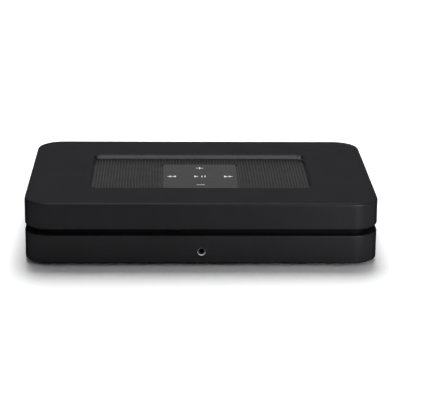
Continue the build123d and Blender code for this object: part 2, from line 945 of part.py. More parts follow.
def aerial_leads():
    """The thin coaxial leads from the aerials to the radio module."""
    radio_x, radio_y = radio_place()
    aerial_y = radio_y + lead_sweep
    start = casing_width / 2 - casing_wall - aerial_thickness
    low = board_top + radio_height
    high = flange_top + lead_level
    leads = []
    for side in (1, -1):
        foot_x = radio_x + side * radio_width / 4
        points = [
            (side * start, aerial_y, high),
            (side * (start - lead_tail), aerial_y, high),
            (foot_x + side * lead_tail, radio_y, high),
            (foot_x, radio_y, high),
            (foot_x, radio_y, low),
        ]
        leads.append(tube(points, lead_radius, lead_bend))
    return group(leads)


def audio_capacitors():
    """The row of electrolytic capacitors behind the audio outputs."""
    cans = []
    for shares in capacitor_shares:
        x, y = on_board(main_board_outline, shares)
        can = post(capacitor_radius, capacitor_height, x, y, board_top)
        cans.append(chamfer(can.edges().group_by(Axis.Z)[-1], capacitor_edge))
    return group(cans)


def header_places():
    """The cable headers: two for the supply harness, one each for touch board and headphones."""
    main_width, main_depth, main_x, main_y = main_board_outline
    supply_width, supply_depth, supply_x, supply_y = supply_board_outline
    harness_y = supply_y + supply_header_share * supply_depth / 2
    front_y = main_y - main_depth / 2 + header_inset
    return {
        "supply": (supply_x + supply_width / 2 - header_inset, harness_y),
        "main": (main_x - main_width / 2 + header_inset, harness_y),
        "touch": (0, front_y + header_inset + header_length),
        "headphones": (0, front_y),
    }


def cable_headers():
    """The moulded headers that the cables plug into."""
    places = header_places()
    along = [
        block(header_length, header_width, header_height, *places[name], board_top)
        for name in ("supply", "main")
    ]
    across = [
        block(header_width, header_length, header_height, *places[name], board_top)
        for name in ("touch", "headphones")
    ]
    return group(along + across)


def strip(points, width, thickness, bend, plane):
    """A flat cable: a thin strip along straight runs and arcs, as wide as it is square to them."""
    path = FilletPolyline(*points, radius=bend)
    ribbon = trace(path, line_width=thickness)
    return extrude(plane * ribbon, amount=width / 2, both=True)


def supply_harness():
    """The flat cable that brings low voltage from the supply to the main board."""
    places = header_places()
    supply_x, y = places["supply"]
    main_x = places["main"][0]
    low = board_top + header_height
    high = low + harness_rise
    points = [(supply_x, low), (supply_x, high), (main_x, high), (main_x, low)]
    plane = Plane(origin=(0, y, 0), x_dir=(1, 0, 0), z_dir=(0, -1, 0))
    return strip(points, harness_width, harness_thickness, harness_bend, plane)


def touch_ribbon():
    """The ribbon that hangs from the touch board to its header."""
    x, y = header_places()["touch"]
    low = board_top + header_height
    high = insert_bottom - touch_board_thickness
    top_y = y + ribbon_rise
    middle = (low + high) / 2
    points = [(y, low), (y, middle), (top_y, middle), (top_y, high)]
    plane = Plane(origin=(x, 0, 0), x_dir=(0, 1, 0), z_dir=(1, 0, 0))
    return strip(points, ribbon_width, ribbon_thickness, ribbon_bend, plane)


def headphone_ribbon():
    """The ribbon from the main board down to the headphone board."""
    x, y = header_places()["headphones"]
    high = board_top + header_height
    top = high + ribbon_rise
    end_y = headphone_front + headphone_board_length - header_inset / 2
    points = [(y, high), (y, top), (end_y, top), (end_y, headphone_board_top)]
    plane = Plane(origin=(x, 0, 0), x_dir=(0, 1, 0), z_dir=(1, 0, 0))
    return strip(points, ribbon_width, ribbon_thickness, ribbon_bend, plane)


def supply_transformer():
    """The supply's transformer: a ferrite core round a wound bobbin."""
    x, y = on_board(supply_board_outline, transformer_shares)
    core_length = transformer_core_share * transformer_length
    core = block(transformer_width, core_length, transformer_height, x, y, board_top)
    window_width = transformer_core_share * transformer_width
    window_height = transformer_core_share * transformer_height
    bottom = board_top + (transformer_height - window_height) / 2
    core = core - block(window_width, core_length + 2 * overrun, window_height, x, y, bottom)
    return core + post(window_width / 2 - seam, window_height, x, y, bottom)


def supply_capacitors():
    """The tall reservoir capacitor and the two smaller ones at the output."""
    cans = []
    sizes = zip(supply_capacitor_radii, supply_capacitor_heights, supply_capacitor_shares)
    for radius, height, shares in sizes:
        x, y = on_board(supply_board_outline, shares)
        can = post(radius, height, x, y, board_top)
        cans.append(chamfer(can.edges().group_by(Axis.Z)[-1], capacitor_edge))
    return group(cans)


def mains_filter_coil():
    """The choke behind the mains inlet: a block of winding with an open middle."""
    x, y = on_board(supply_board_outline, filter_shares)
    coil = block(filter_width, filter_length, filter_height, x, y, board_top)
    front = y - filter_length / 2 - overrun
    return coil - rod(filter_core_radius, filter_length + 2 * overrun, x, front, board_top + filter_height / 2)


def mains_fuse():
    """The glass fuse lying in its two clips."""
    x, y = on_board(supply_board_outline, fuse_shares)
    front = y - fuse_length / 2
    axis_z = board_top + fuse_lift + fuse_radius
    fuse = rod(fuse_radius, fuse_length, x, front, axis_z)
    clip_height = fuse_lift + fuse_radius
    for start in (front, front + fuse_length - fuse_cap_length):
        middle = start + fuse_cap_length / 2
        fuse = fuse + block(2 * fuse_radius, fuse_cap_length, clip_height, x, middle, board_top)
    return fuse


def mains_inlet():
    """The mains inlet: a moulded body with a recess shaped like a figure of eight."""
    x = socket_x["inlet"]
    z = board_top + inlet_height / 2
    face = panel_face + inlet_proud
    body = rear_block(inlet_width, inlet_height, inlet_depth, x, face - inlet_depth, z)
    floor = face - inlet_recess_depth
    reach = inlet_recess_depth + overrun
    recess = rear_block(inlet_pin_spacing, inlet_web_height, reach, x, floor, z)
    for side in (1, -1):
        recess = recess + rod(inlet_lobe_radius, reach, x + side * inlet_pin_spacing / 2, floor, z)
    pins = [
        rod(inlet_pin_radius + slip, overrun, x + side * inlet_pin_spacing / 2, floor - overrun, z)
        for side in (1, -1)
    ]
    return body - recess - pins


def mains_pins():
    """The two round pins of the mains inlet."""
    x = socket_x["inlet"]
    z = board_top + inlet_height / 2
    floor = panel_face + inlet_proud - inlet_recess_depth
    length = inlet_recess_depth - inlet_pin_setback + overrun
    return group(
        rod(inlet_pin_radius, length, x + side * inlet_pin_spacing / 2, floor - overrun, z)
        for side in (1, -1)
    )


def ethernet_socket():
    """The network socket, with the stepped slot for the plug's latch."""
    x = socket_x["ethernet"]
    z = board_top + ethernet_height / 2
    face = panel_face + ethernet_proud
    body = rear_block(ethernet_width, ethernet_height, ethernet_depth, x, face - ethernet_depth, z)
    floor = face - port_depth
    reach = port_depth + overrun
    port_bottom = board_top + port_floor
    port = block(port_width, reach, port_height, x, floor + reach / 2, port_bottom)
    slot_bottom = port_bottom - latch_height
    slot = block(latch_width, reach, port_height, x, floor + reach / 2, slot_bottom)
    tip = block(latch_tip_width, reach, port_height, x, floor + reach / 2, slot_bottom - latch_height)
    return body - port - slot - tip


def usb_frame():
    """The serial socket's middle line and the front of its shell, as x, z and y."""
    face = panel_face + usb_proud
    return socket_x["usb"], board_top + usb_height / 2, face - usb_depth


def usb_socket_shell():
    """The folded steel shell of the serial socket."""
    x, z, front = usb_frame()
    shell = rear_block(usb_width, usb_height, usb_depth, x, front, z)
    inner_width = usb_width - 2 * usb_shell
    inner_height = usb_height - 2 * usb_shell
    return shell - rear_block(inner_width, inner_height, usb_depth + 2 * overrun, x, front - overrun, z)


def usb_tongue():
    """The plastic tongue that carries the contacts, on its block at the back of the shell."""
    x, z, front = usb_frame()
    width = usb_width - 2 * usb_shell - 2 * slip
    height = usb_height - 2 * usb_shell - 2 * slip
    back = rear_block(width, height, usb_back_block, x, front, z)
    tongue_z = z + height / 2 - tongue_drop - tongue_thickness / 2
    return back + rear_block(tongue_width, tongue_thickness, tongue_length + usb_back_block, x, front, tongue_z)


def jack_socket(name):
    """A small round socket: a block on the board with a nose through the rear panel."""
    x = socket_x[name]
    z = board_top + jack_height / 2
    body = rear_block(jack_width, jack_height, jack_depth, x, panel_back - jack_depth, z)
    face = panel_face + jack_nose_proud
    nose = rod(jack_nose_radius, face - panel_back, x, panel_back, z)
    nose = chamfer(nose.edges().group_by(Axis.Y)[-1], jack_mouth_chamfer)
    return body + nose - rod(jack_bore_radius, jack_bore_depth + overrun, x, face - jack_bore_depth, z)


def headphone_socket():
    """The headphone socket behind the front wall of the lower casing."""
    front = headphone_front
    body = rear_block(jack_width, jack_height, jack_depth, 0, front, headphone_z)
    return body - rod(jack_bore_radius, jack_bore_depth + overrun, 0, front - overrun, headphone_z)


def headphone_ring():
    """The bright ring round the headphone hole, with a funnel mouth."""
    ring = rod(ring_radius, casing_wall, 0, front_face, headphone_z)
    ring = ring - rod(jack_bore_radius, casing_wall + 2 * overrun, 0, front_face - overrun, headphone_z)
    funnel = Pos(0, front_face, headphone_z) * Rot(-90, 0, 0) * Cone(
        ring_mouth_radius, jack_bore_radius, ring_throat_depth, align=centred
    )
    return ring - funnel


def optical_frame():
    """The optical socket's x, its bottom, its face and the inner face of its lip."""
    face = panel_face + optical_proud
    return socket_x["optical"], board_top, face, face - optical_lip


def optical_hinge():
    """The shutter's hinge line, as y and z."""
    x, bottom, face, lip_back = optical_frame()
    opening_top = bottom + optical_wall + optical_sill + optical_opening
    return lip_back - shutter_gap - hinge_radius, opening_top + hinge_rise


def optical_socket():
    """The optical socket: a hollow body with a square opening, and holes for the shutter's pin."""
    x, bottom, face, lip_back = optical_frame()
    middle_z = bottom + optical_height / 2
    body = rear_block(optical_width, optical_height, optical_depth, x, face - optical_depth, middle_z)
    inner_width = optical_width - 2 * optical_wall
    inner_height = optical_height - 2 * optical_wall
    inner_front = face - optical_depth + optical_wall
    body = body - rear_block(inner_width, inner_height, lip_back - inner_front, x, inner_front, middle_z)
    opening_z = bottom + optical_wall + optical_sill + optical_opening / 2
    mouth_length = optical_lip + 2 * overrun
    body = body - rear_block(optical_opening, optical_opening, mouth_length, x, lip_back - overrun, opening_z)
    y, z = optical_hinge()
    pin_hole = Pos(x, y, z) * Rot(0, 90, 0) * Cylinder(hinge_pin_radius + slip, optical_width + 2 * overrun)
    lens_start = face - optical_depth - overrun
    lens_hole = rod(emitter_radius + slip, optical_wall + 2 * overrun, x, lens_start, opening_z)
    return body - pin_hole - lens_hole


def optical_shutter():
    """The flap behind the opening, with its barrel on the hinge pin."""
    x, bottom, face, lip_back = optical_frame()
    y, z = optical_hinge()
    width = optical_width - 2 * optical_wall - 2 * seam
    length = optical_opening + hinge_rise + shutter_overlap / 2
    plate = Pos(x, y + hinge_radius - shutter_thickness / 2 - slip, z - length / 2) * Box(
        width, shutter_thickness, length
    )
    plate = plate - Pos(x + width / 2, y, z) * Box(
        2 * shutter_spring_room, 2 * hinge_radius + overrun, 2 * (hinge_radius + slip)
    )
    barrel_width = width - shutter_spring_room
    barrel = Pos(x - shutter_spring_room / 2, y, z) * Rot(0, 90, 0) * Cylinder(hinge_radius, barrel_width)
    pin_hole = Pos(x, y, z) * Rot(0, 90, 0) * Cylinder(hinge_pin_radius + slip, optical_width)
    return plate + barrel - pin_hole


def shutter_pin():
    """The pin that the shutter turns on."""
    x = socket_x["optical"]
    y, z = optical_hinge()
    return Pos(x, y, z) * Rot(0, 90, 0) * Cylinder(hinge_pin_radius, optical_width - 2 * slip)


def shutter_spring():
    """The fine torsion spring wound round the pin beside the barrel."""
    x = socket_x["optical"]
    y, z = optical_hinge()
    room_end = x + optical_width / 2 - optical_wall - seam
    room = shutter_spring_room - 2 * seam
    pitch = (room - 2 * spring_wire_radius) / spring_turns
    coil = Helix(pitch, pitch * spring_turns, spring_coil_radius)
    wire = sweep(Plane(coil @ 0, z_dir=coil % 0) * Circle(spring_wire_radius), path=coil, is_frenet=True)
    start = room_end - room + spring_wire_radius
    return Pos(start, y, z) * Rot(0, 90, 0) * wire


def optical_emitter():
    """The small lens at the back of the optical socket."""
    x, bottom, face, lip_back = optical_frame()
    z = bottom + optical_wall + optical_sill + optical_opening / 2
    return rod(emitter_radius, optical_wall, x, face - optical_depth, z)


def phono_body(name):
    """A phono socket's body: the block, the collar in the panel and the insulator in the shell."""
    x = socket_x[name]
    z = board_top + phono_height / 2
    body = rear_block(phono_width, phono_height, phono_depth, x, panel_back - phono_depth, z)
    collar_length = panel_thickness + phono_collar_proud
    collar = rod(phono_collar_radius, collar_length, x, panel_back, z)
    collar = collar - rod(phono_shell_root_radius + slip, collar_length + overrun, x, panel_back, z)
    insulator_length = panel_thickness + phono_shell_reach - phono_insulator_setback
    insulator = rod(phono_shell_inner_radius - slip, insulator_length, x, panel_back, z)
    hole_start = panel_back + insulator_length - phono_bore_depth
    hole = rod(phono_contact_radius + slip, phono_bore_depth + overrun, x, hole_start, z)
    return body + collar + insulator - hole


def line_output_body():
    """The pair of line outputs in one moulding."""
    right = socket_x["line_right"]
    left = socket_x["line_left"]
    pair = phono_body("line_right") + phono_body("line_left")
    gap = left - right
    x = (left + right) / 2
    z = board_top + phono_height / 2
    bridge_width = gap - phono_width + 2 * seam
    return pair + rear_block(bridge_width, phono_height, phono_depth, x, panel_back - phono_depth, z)


def phono_shells():
    """The four plated barrels that a phono plug grips."""
    z = board_top + phono_height / 2
    length = panel_thickness + phono_shell_reach
    collar_face = panel_face + phono_collar_proud
    grip_length = panel_back + length - collar_face
    return group(
        rod(phono_shell_root_radius, length, socket_x[name], panel_back, z)
        + rod(phono_shell_radius, grip_length, socket_x[name], collar_face, z)
        - rod(phono_shell_inner_radius, length + 2 * overrun, socket_x[name], panel_back - overrun, z)
        for name in phono_names
    )


def phono_contacts():
    """The sprung sleeve in the middle of each phono socket."""
    z = board_top + phono_height / 2
    end = panel_face + phono_shell_reach - phono_insulator_setback
    front = end - phono_bore_depth
    length = phono_bore_depth - phono_contact_setback
    return group(
        rod(phono_contact_radius, length, socket_x[name], front, z)
        - rod(phono_contact_bore, length + 2 * overrun, socket_x[name], front - overrun, z)
        for name in phono_names
    )


pieces = {
    "upper_casing": upper_casing(),
    "ribbed_insert": ribbed_insert(),
    "touch_panel": touch_panel(),
    "touch_light_guide": touch_light_guide(),
    "touch_board": touch_board(),
    "insert_screws": insert_screws(),
    "waist_frame": waist_frame(),
    "ir_window": ir_window(),
    "ir_receiver": ir_receiver(),
    "ir_board": ir_board(),
    "ir_board_screw": ir_board_screw(),
    "lower_casing": lower_casing(),
    "casing_screws": casing_screws(),
    "base_plate": base_plate(),
    "rubber_feet": rubber_feet(),
    "base_screws": base_screws(),
    "rear_panel": rear_panel(),
    "rear_panel_screws": rear_panel_screws(),
    "main_board": main_board(),
    "supply_board": supply_board(),
    "headphone_board": headphone_board(),
    "board_screws": board_screws(),
    "insulation_sheet": insulation_sheet(),
    "processor_chip": processor_chip(),
    "board_chips": board_chips(),
    "thermal_pad": thermal_pad(),
    "heat_sink": heat_sink(),
    "radio_module": radio_module(),
    "aerials": aerials(),
    "aerial_leads": aerial_leads(),
    "audio_capacitors": audio_capacitors(),
    "cable_headers": cable_headers(),
    "supply_harness": supply_harness(),
    "touch_ribbon": touch_ribbon(),
    "headphone_ribbon": headphone_ribbon(),
    "supply_transformer": supply_transformer(),
    "supply_capacitors": supply_capacitors(),
    "mains_filter_coil": mains_filter_coil(),
    "mains_fuse": mains_fuse(),
    "mains_inlet": mains_inlet(),
    "mains_pins": mains_pins(),
    "ethernet_socket": ethernet_socket(),
    "usb_socket_shell": usb_socket_shell(),
    "usb_tongue": usb_tongue(),
    "trigger_socket": jack_socket("trigger"),
    "ir_input_socket": jack_socket("ir_input"),
    "combined_input_socket": jack_socket("combined_input"),
    "headphone_socket": headphone_socket(),
    "headphone_ring": headphone_ring(),
    "optical_socket": optical_socket(),
    "optical_shutter": optical_shutter(),
    "shutter_pin": shutter_pin(),
    "shutter_spring": shutter_spring(),
    "optical_emitter": optical_emitter(),
    "coaxial_output_body": phono_body("coaxial"),
    "subwoofer_output_body": phono_body("subwoofer"),
    "line_output_body": line_output_body(),
    "phono_shells": phono_shells(),
    "phono_contacts": phono_contacts(),
}

os.makedirs("parts", exist_ok=True)
for name, shape in pieces.items():
    export_step(shape, f"parts/{name}.step")
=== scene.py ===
# %% [markdown]
# # Dressing a network music streamer
#
# The real object is a flat black box: two moulded shells, one above the other, with a narrow waist between
# them, a ribbed tray sunk into the top and a touch plate in the middle of the tray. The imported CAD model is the
# fixed frame of this lesson. It says where every piece is and how the one moving piece turns, so the visible
# surfaces made here only have to follow its numbers. The frame could also be rebuilt by eye from the
# photograph, but then nothing would fit or move, so it is loaded first and never changed.

import json
import math

import bmesh
import bpy
import numpy as np
from mathutils import Matrix, Vector


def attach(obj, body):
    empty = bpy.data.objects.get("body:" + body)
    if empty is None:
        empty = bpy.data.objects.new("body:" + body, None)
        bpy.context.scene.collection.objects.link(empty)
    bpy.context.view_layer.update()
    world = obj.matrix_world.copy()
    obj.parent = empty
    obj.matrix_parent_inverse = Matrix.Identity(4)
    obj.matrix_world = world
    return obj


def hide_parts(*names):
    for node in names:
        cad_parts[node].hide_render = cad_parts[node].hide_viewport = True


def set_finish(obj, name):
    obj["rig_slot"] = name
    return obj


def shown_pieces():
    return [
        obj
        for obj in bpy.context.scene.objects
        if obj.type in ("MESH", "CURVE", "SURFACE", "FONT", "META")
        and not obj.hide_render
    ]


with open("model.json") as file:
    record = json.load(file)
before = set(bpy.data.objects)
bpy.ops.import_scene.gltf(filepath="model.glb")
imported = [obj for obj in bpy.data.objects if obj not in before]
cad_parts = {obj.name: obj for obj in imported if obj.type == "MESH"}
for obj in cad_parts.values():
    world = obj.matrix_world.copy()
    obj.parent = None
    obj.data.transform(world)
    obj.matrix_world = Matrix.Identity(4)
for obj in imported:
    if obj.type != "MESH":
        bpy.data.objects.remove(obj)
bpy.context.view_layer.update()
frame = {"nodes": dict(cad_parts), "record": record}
MM = 0.001

# %% [markdown]
# ## The camera
#
# The photograph was taken from the front, a little above the object and with a long lens, so that the sides
# hardly converge. A camera can be placed by trial, or worked out from corners that are seen in the picture. The
# second way was chosen: the four corners of the box and of the tray gave the place, the turn and the lens. The
# view looks down by the pitch, turns right by the yaw and leans by the roll.

# %% Place the camera
LENS, SENSOR = 138.25, 36.0
EYE = Vector((-19.57, -1050.17, 347.33)) * MM
yaw, pitch, roll = (math.radians(angle) for angle in (1.704, 17.266, 0.568))
forward = Vector((math.sin(yaw) * math.cos(pitch), math.cos(yaw) * math.cos(pitch), -math.sin(pitch)))
level = Vector((math.cos(yaw), -math.sin(yaw), 0))
upright = level.cross(forward)
sideways = math.cos(roll) * level + math.sin(roll) * upright
upwards = math.cos(roll) * upright - math.sin(roll) * level
camera = bpy.data.objects.new("camera", bpy.data.cameras.new("camera"))
camera.data.sensor_fit = "HORIZONTAL"
camera.data.sensor_width = SENSOR
camera.data.lens = LENS
camera.data.clip_start = 0.02
camera.matrix_world = Matrix.Translation(EYE) @ Matrix((sideways, upwards, -forward)).transposed().to_4x4()
bpy.context.scene.collection.objects.link(camera)
bpy.context.scene.camera = camera
bpy.context.scene.view_settings.view_transform = "Standard"
print("camera to the middle of the object, in mm:", round(EYE.length / MM, 1))

# %% [markdown]
# ## Surfaces from numbers
#
# Almost every moulding of this object is a rounded rectangle that changes as it rises: it grows by a small
# radius at the lower edge, stays the same up the side, and shrinks again over the upper edge. Such a piece could
# be a cube with a bevel, but a bevel says nothing about the sloped wall of the tray or the hollow inside. Here
# a piece is a list of rings, and a skin is stretched from each ring to the next. If the last ring joins the
# first, the skin closes on itself round the hollow, as a real shell does.

# %% A helper that joins a grid of points with four-sided faces
def grid_faces(rows, columns, wrap_rows):
    """Quads between neighbours of a grid whose columns go round; with wrap_rows the last row meets the first."""
    row = np.arange(rows if wrap_rows else rows - 1)[:, None]
    column = np.arange(columns)[None, :]
    below, above = row * columns, (row + 1) % rows * columns
    beside = (column + 1) % columns
    corners = (below + column, below + beside, above + beside, above + column)
    return np.stack(corners, -1).reshape(-1, 4).tolist()


def end_caps(rows, columns):
    """The two flat faces that close an open stack of rings: the first one looks back, the last one ahead."""
    return [list(range(columns))[::-1], list(range((rows - 1) * columns, rows * columns))]


# %% A skin over rounded rectangles
CORNER_STEPS = 18


def skin(rings, closed, steps=CORNER_STEPS):
    """Rings are (half width, half depth, corner radius, height, middle x, middle y), in mm.

    A point at angle a of a corner is the corner's centre plus radius times (cos a, sin a), and the centre lies
    one radius inside both sides.
    """
    rings = np.asarray(rings, float)
    half_x, half_y, radius, height, middle_x, middle_y = rings.T[:, :, None]
    angle = (np.arange(4)[:, None] * np.pi / 2 + np.linspace(0, np.pi / 2, steps)).ravel()
    side_x = np.repeat((1, -1, -1, 1), steps)
    side_y = np.repeat((1, 1, -1, -1), steps)
    x = middle_x + side_x * (half_x - radius) + radius * np.cos(angle)
    y = middle_y + side_y * (half_y - radius) + radius * np.sin(angle)
    points = np.stack((x, y, height + 0 * x), -1).reshape(-1, 3)
    faces = grid_faces(len(rings), 4 * steps, closed)
    return points, faces if closed else faces + end_caps(len(rings), 4 * steps)


# %% A turned surface, for feet, rings and barrels
def lathe(profile, closed, steps=48):
    """A profile of (radius, height) pairs, in mm, turned about the Z axis: (r cos a, r sin a, h)."""
    profile = np.asarray(profile, float)
    angle = np.arange(steps) * 2 * np.pi / steps
    x = profile[:, :1] * np.cos(angle)
    y = profile[:, :1] * np.sin(angle)
    points = np.stack((x, y, profile[:, 1:] + 0 * x), -1).reshape(-1, 3)
    faces = grid_faces(len(profile), steps, closed)
    return points, faces if closed else faces + end_caps(len(profile), steps)


# %% Small steps that every shape uses
def arc(centre, radius, start, end, steps):
    """Points of an arc from one angle to another, in degrees: centre plus radius times (cos, sin)."""
    angle = np.radians(np.linspace(start, end, steps + 1))
    return np.array(centre) + radius * np.stack((np.cos(angle), np.sin(angle)), -1)


def facing_front(shape):
    """Turns a shape that was made standing up so that its top looks to the front, along -Y."""
    x, y, z = shape[0].T
    return np.stack((x, -z, y), -1), shape[1]


def facing_rear(shape):
    """Turns a shape that was made standing up so that its top looks to the rear, along +Y."""
    x, y, z = shape[0].T
    return np.stack((x, z, -y), -1), shape[1]


def joined(shapes):
    """Several (points, faces) shapes as one, each shape's faces counted on from the points before it."""
    counts = np.cumsum([0] + [len(points) for points, faces in shapes])
    faces = [[start + index for index in face] for start, shape in zip(counts, shapes) for face in shape[1]]
    return np.concatenate([points for points, _ in shapes]), faces


def placed(shape, x=0, y=0, z=0):
    """The same shape moved to a place, in mm."""
    return shape[0] + np.array((x, y, z)), shape[1]


# %% [markdown]
# ## Turning arrays into pieces
#
# A piece here is a mesh whose object stays at the origin, so that a pattern on object coordinates has the same
# scale and place everywhere. It is shaded smooth, with sharp edges where two faces meet at more than a given
# angle. Weighted normals are one way to keep large faces flat beside small radii. Pieces that are drawn from
# rings have a narrow holding strip next to each radius instead, which does the same and needs no modifier.

# %% Make a piece that rides on a body of the frame
SHARP = 32


def new_mesh(name, shape):
    """A mesh from points in mm and faces."""
    mesh = bpy.data.meshes.new(name)
    mesh.from_pydata((np.asarray(shape[0]) * MM).tolist(), [], shape[1])
    return mesh


def shade(mesh, sharp):
    """Smooth shading, with sharp edges where two faces meet at more than the given angle in degrees."""
    mesh.shade_smooth()
    mesh.set_sharp_from_angle(angle=math.radians(sharp))


def make_piece(name, shape, slot, nodes=(), sharp=SHARP):
    """Puts points (mm) and faces into a smooth mesh that stands for CAD nodes and takes a slot's finish."""
    return finish_piece(name, new_mesh(name, shape), slot, nodes, "casing", sharp)


def finish_piece(name, mesh, slot, nodes, body, sharp=SHARP):
    """Shades a mesh, links its object and tells the frame what it rides on and replaces."""
    shade(mesh, sharp)
    piece = bpy.data.objects.new(name, mesh)
    bpy.context.scene.collection.objects.link(piece)
    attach(piece, body)
    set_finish(piece, slot)
    if nodes:
        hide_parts(*nodes)
    print(name, "has", len(mesh.polygons), "faces and measures", [round(d / MM, 2) for d in piece.dimensions])
    return piece


# %% Cut a piece with plain cutters
def cut(piece, cutters):
    """Takes cutter shapes out of a piece with exact booleans, and keeps only the cut mesh."""
    for shape in cutters:
        cutter = bpy.data.objects.new("cutter", new_mesh("cutter", shape))
        bpy.context.scene.collection.objects.link(cutter)
        modifier = piece.modifiers.new("cut", "BOOLEAN")
        modifier.object = cutter
        modifier.operation = "DIFFERENCE"
        modifier.solver = "EXACT"
        bpy.context.view_layer.update()
        evaluated = piece.evaluated_get(bpy.context.evaluated_depsgraph_get())
        result = bpy.data.meshes.new_from_object(evaluated)
        piece.modifiers.clear()
        piece.data = result
        bpy.data.objects.remove(cutter)
    shade(piece.data, SHARP)
    print(piece.name, "cut", len(cutters), "times, now has", len(piece.data.polygons), "faces")


# %% [markdown]
# ## The two shells
#
# The shells are injection moulded in black plastic. Their sections are given as pairs: how far a point lies
# inside the outline of the casing, and how high it is. The upper shell's section starts under its lip, goes up
# the outside, over the top edge and into the tray, then back under the roof and down the inside. Boxes with
# rounded edges would show the same outside, but the tray's sloped wall belongs to this same moulding, and one
# section draws all of it.

# %% Sections measured inwards from the casing's outline
HALF_WIDTH, HALF_DEPTH, CORNER_RADIUS = 110.0, 73.0, 17.0
HOLD = 0.15


def casing_rings(section):
    """Rings from (inset, height) pairs: the outline shrinks by the inset on every side and in its corners."""
    inset, height = np.asarray(section, float).T
    zero = 0 * inset
    return np.stack((HALF_WIDTH - inset, HALF_DEPTH - inset, CORNER_RADIUS - inset, height, zero, zero), -1)


TRAY_HALF_WIDTH, TRAY_HALF_DEPTH, TRAY_RADIUS = 70.7, 39.0, 5.5
SMALL_ROUND, TOP_ROUND = 0.8, 1.5


def tray_rings(section):
    """Rings from (growth, height) pairs: the tray's rim grows by the first number on every side."""
    growth, height = np.asarray(section, float).T
    zero = 0 * growth
    half_x, half_y = TRAY_HALF_WIDTH + growth, TRAY_HALF_DEPTH + growth
    return np.stack((half_x, half_y, TRAY_RADIUS + growth, height, zero, zero), -1)


def outer_edges(bottom, top, low_radius, high_radius):
    """The outside of a shell: a radius, the upright side between holding strips, and a radius."""
    low = arc((low_radius, bottom + low_radius), low_radius, 270, 180, 5)
    high = arc((high_radius, top - high_radius), high_radius, 180, 90, 7)
    strips = ([0, bottom + low_radius + HOLD], [0, top - high_radius - HOLD])
    return np.concatenate((low, strips, high))


# %% The upper shell with the tray's wall
WALL, UPPER_BOTTOM, UPPER_TOP, ROOF_UNDERSIDE, TRAY_FLOOR = 2.4, 24.2, 41.0, 38.6, 38.0
lip = [[WALL, UPPER_BOTTOM], [SMALL_ROUND + HOLD, UPPER_BOTTOM]]
side = outer_edges(UPPER_BOTTOM, UPPER_TOP, SMALL_ROUND, TOP_ROUND)
outside = np.concatenate((lip, side, [[TOP_ROUND + HOLD, UPPER_TOP]]))
RIM_CENTRE, SHELF = 0.559, 11
rim = arc((RIM_CENTRE, UPPER_TOP - SMALL_ROUND), SMALL_ROUND, 90, 160, 7)
foot = [[-0.24, 40.35], [-1.1, TRAY_FLOOR], [SHELF, TRAY_FLOOR], [SHELF, ROOF_UNDERSIDE]]
tray = np.concatenate(([[RIM_CENTRE + HOLD, UPPER_TOP]], rim, foot))
inside = casing_rings([[WALL, ROOF_UNDERSIDE]])
upper_rings = np.concatenate((casing_rings(outside), tray_rings(tray), inside))
FINE_CORNER = 28
upper_shell = make_piece("upper_shell", skin(upper_rings, True, FINE_CORNER), "casing_plastic", ["upper_casing"])

# %% The lower shell with its deck
LOWER_BOTTOM, LOWER_TOP, DECK_UNDERSIDE, LEDGE = 2.0, 20.2, 17.8, 13.5
lip = [[WALL, LOWER_BOTTOM], [SMALL_ROUND + HOLD, LOWER_BOTTOM]]
side = outer_edges(LOWER_BOTTOM, LOWER_TOP, SMALL_ROUND, SMALL_ROUND)
deck = [[SMALL_ROUND + HOLD, LOWER_TOP], [LEDGE, LOWER_TOP], [LEDGE, DECK_UNDERSIDE], [WALL, DECK_UNDERSIDE]]
lower_rings = casing_rings(np.concatenate((lip, side, deck)))
lower_shell = make_piece("lower_shell", skin(lower_rings, True, FINE_CORNER), "casing_plastic", ["lower_casing"])

# %% [markdown]
# ## The bay at the back
#
# At the rear both shells leave room for the tray that holds the sockets. Modelling the opening into the rings
# would break their even spacing, so it is cut out afterwards. The cutter is itself a skin of two rings, and the
# exact boolean solver keeps the shells closed. The hole for the headphone ring is cut the same way.

# %% Cut the bay and the headphone hole
BAY_HALF, BAY_LOW, BAY_HIGH, BAY_FRONT = 84.3, 6.1, 31.3, 58.5
BEYOND = 75.0
HEADPHONE_Z, HEADPHONE_HOLE = 10.0, 3.35


def box_shape(half_x, low_y, high_y, low_z, high_z, middle_x=0):
    """A plain box as a skin of two rings with nearly square corners."""
    middle, half_y = (low_y + high_y) / 2, (high_y - low_y) / 2
    ring = [half_x, half_y, 0.001, 0, middle_x, middle]
    low, high = list(ring), list(ring)
    low[3], high[3] = low_z, high_z
    return skin([low, high], False, 2)


headphone_hole = facing_front(lathe([[HEADPHONE_HOLE, 69.0], [HEADPHONE_HOLE, BEYOND]], False, 64))
cut(upper_shell, [box_shape(BAY_HALF, BAY_FRONT, BEYOND, 20.0, BAY_HIGH)])
cut(lower_shell, [box_shape(BAY_HALF, BAY_FRONT, BEYOND, BAY_LOW, 22.0), placed(headphone_hole, z=HEADPHONE_Z)])

# %% [markdown]
# ## The waist
#
# Between the shells runs a recessed band of the same plastic, five millimetres in. In the photograph it is nearly
# black, because almost no light falls into it, and that needs real depth. The band has that depth, and its colour
# is also set far darker than the shells' as painted shade. Its section is an upright band with a flange on top
# that closes the upper shell from below. A small dark window for the remote control's receiver sits in the band,
# left of the middle.

# %% The waist band
WAIST_FACE, WAIST_BACK, FLANGE_EDGE, FLANGE_TOP = 5.0, 7.4, 2.7, 25.8
band = [
    [WAIST_FACE, LOWER_TOP], [WAIST_FACE, UPPER_BOTTOM], [FLANGE_EDGE, UPPER_BOTTOM], [FLANGE_EDGE, FLANGE_TOP],
    [LEDGE, FLANGE_TOP], [LEDGE, UPPER_BOTTOM], [WAIST_BACK, UPPER_BOTTOM], [WAIST_BACK, LOWER_TOP],
]
waist_band = make_piece("waist_band", skin(casing_rings(band), True, FINE_CORNER), "waist_plastic",
                        ["waist_frame"])

# %% The receiver's window
WINDOW_X, WINDOW_Z = -17.8, 22.2


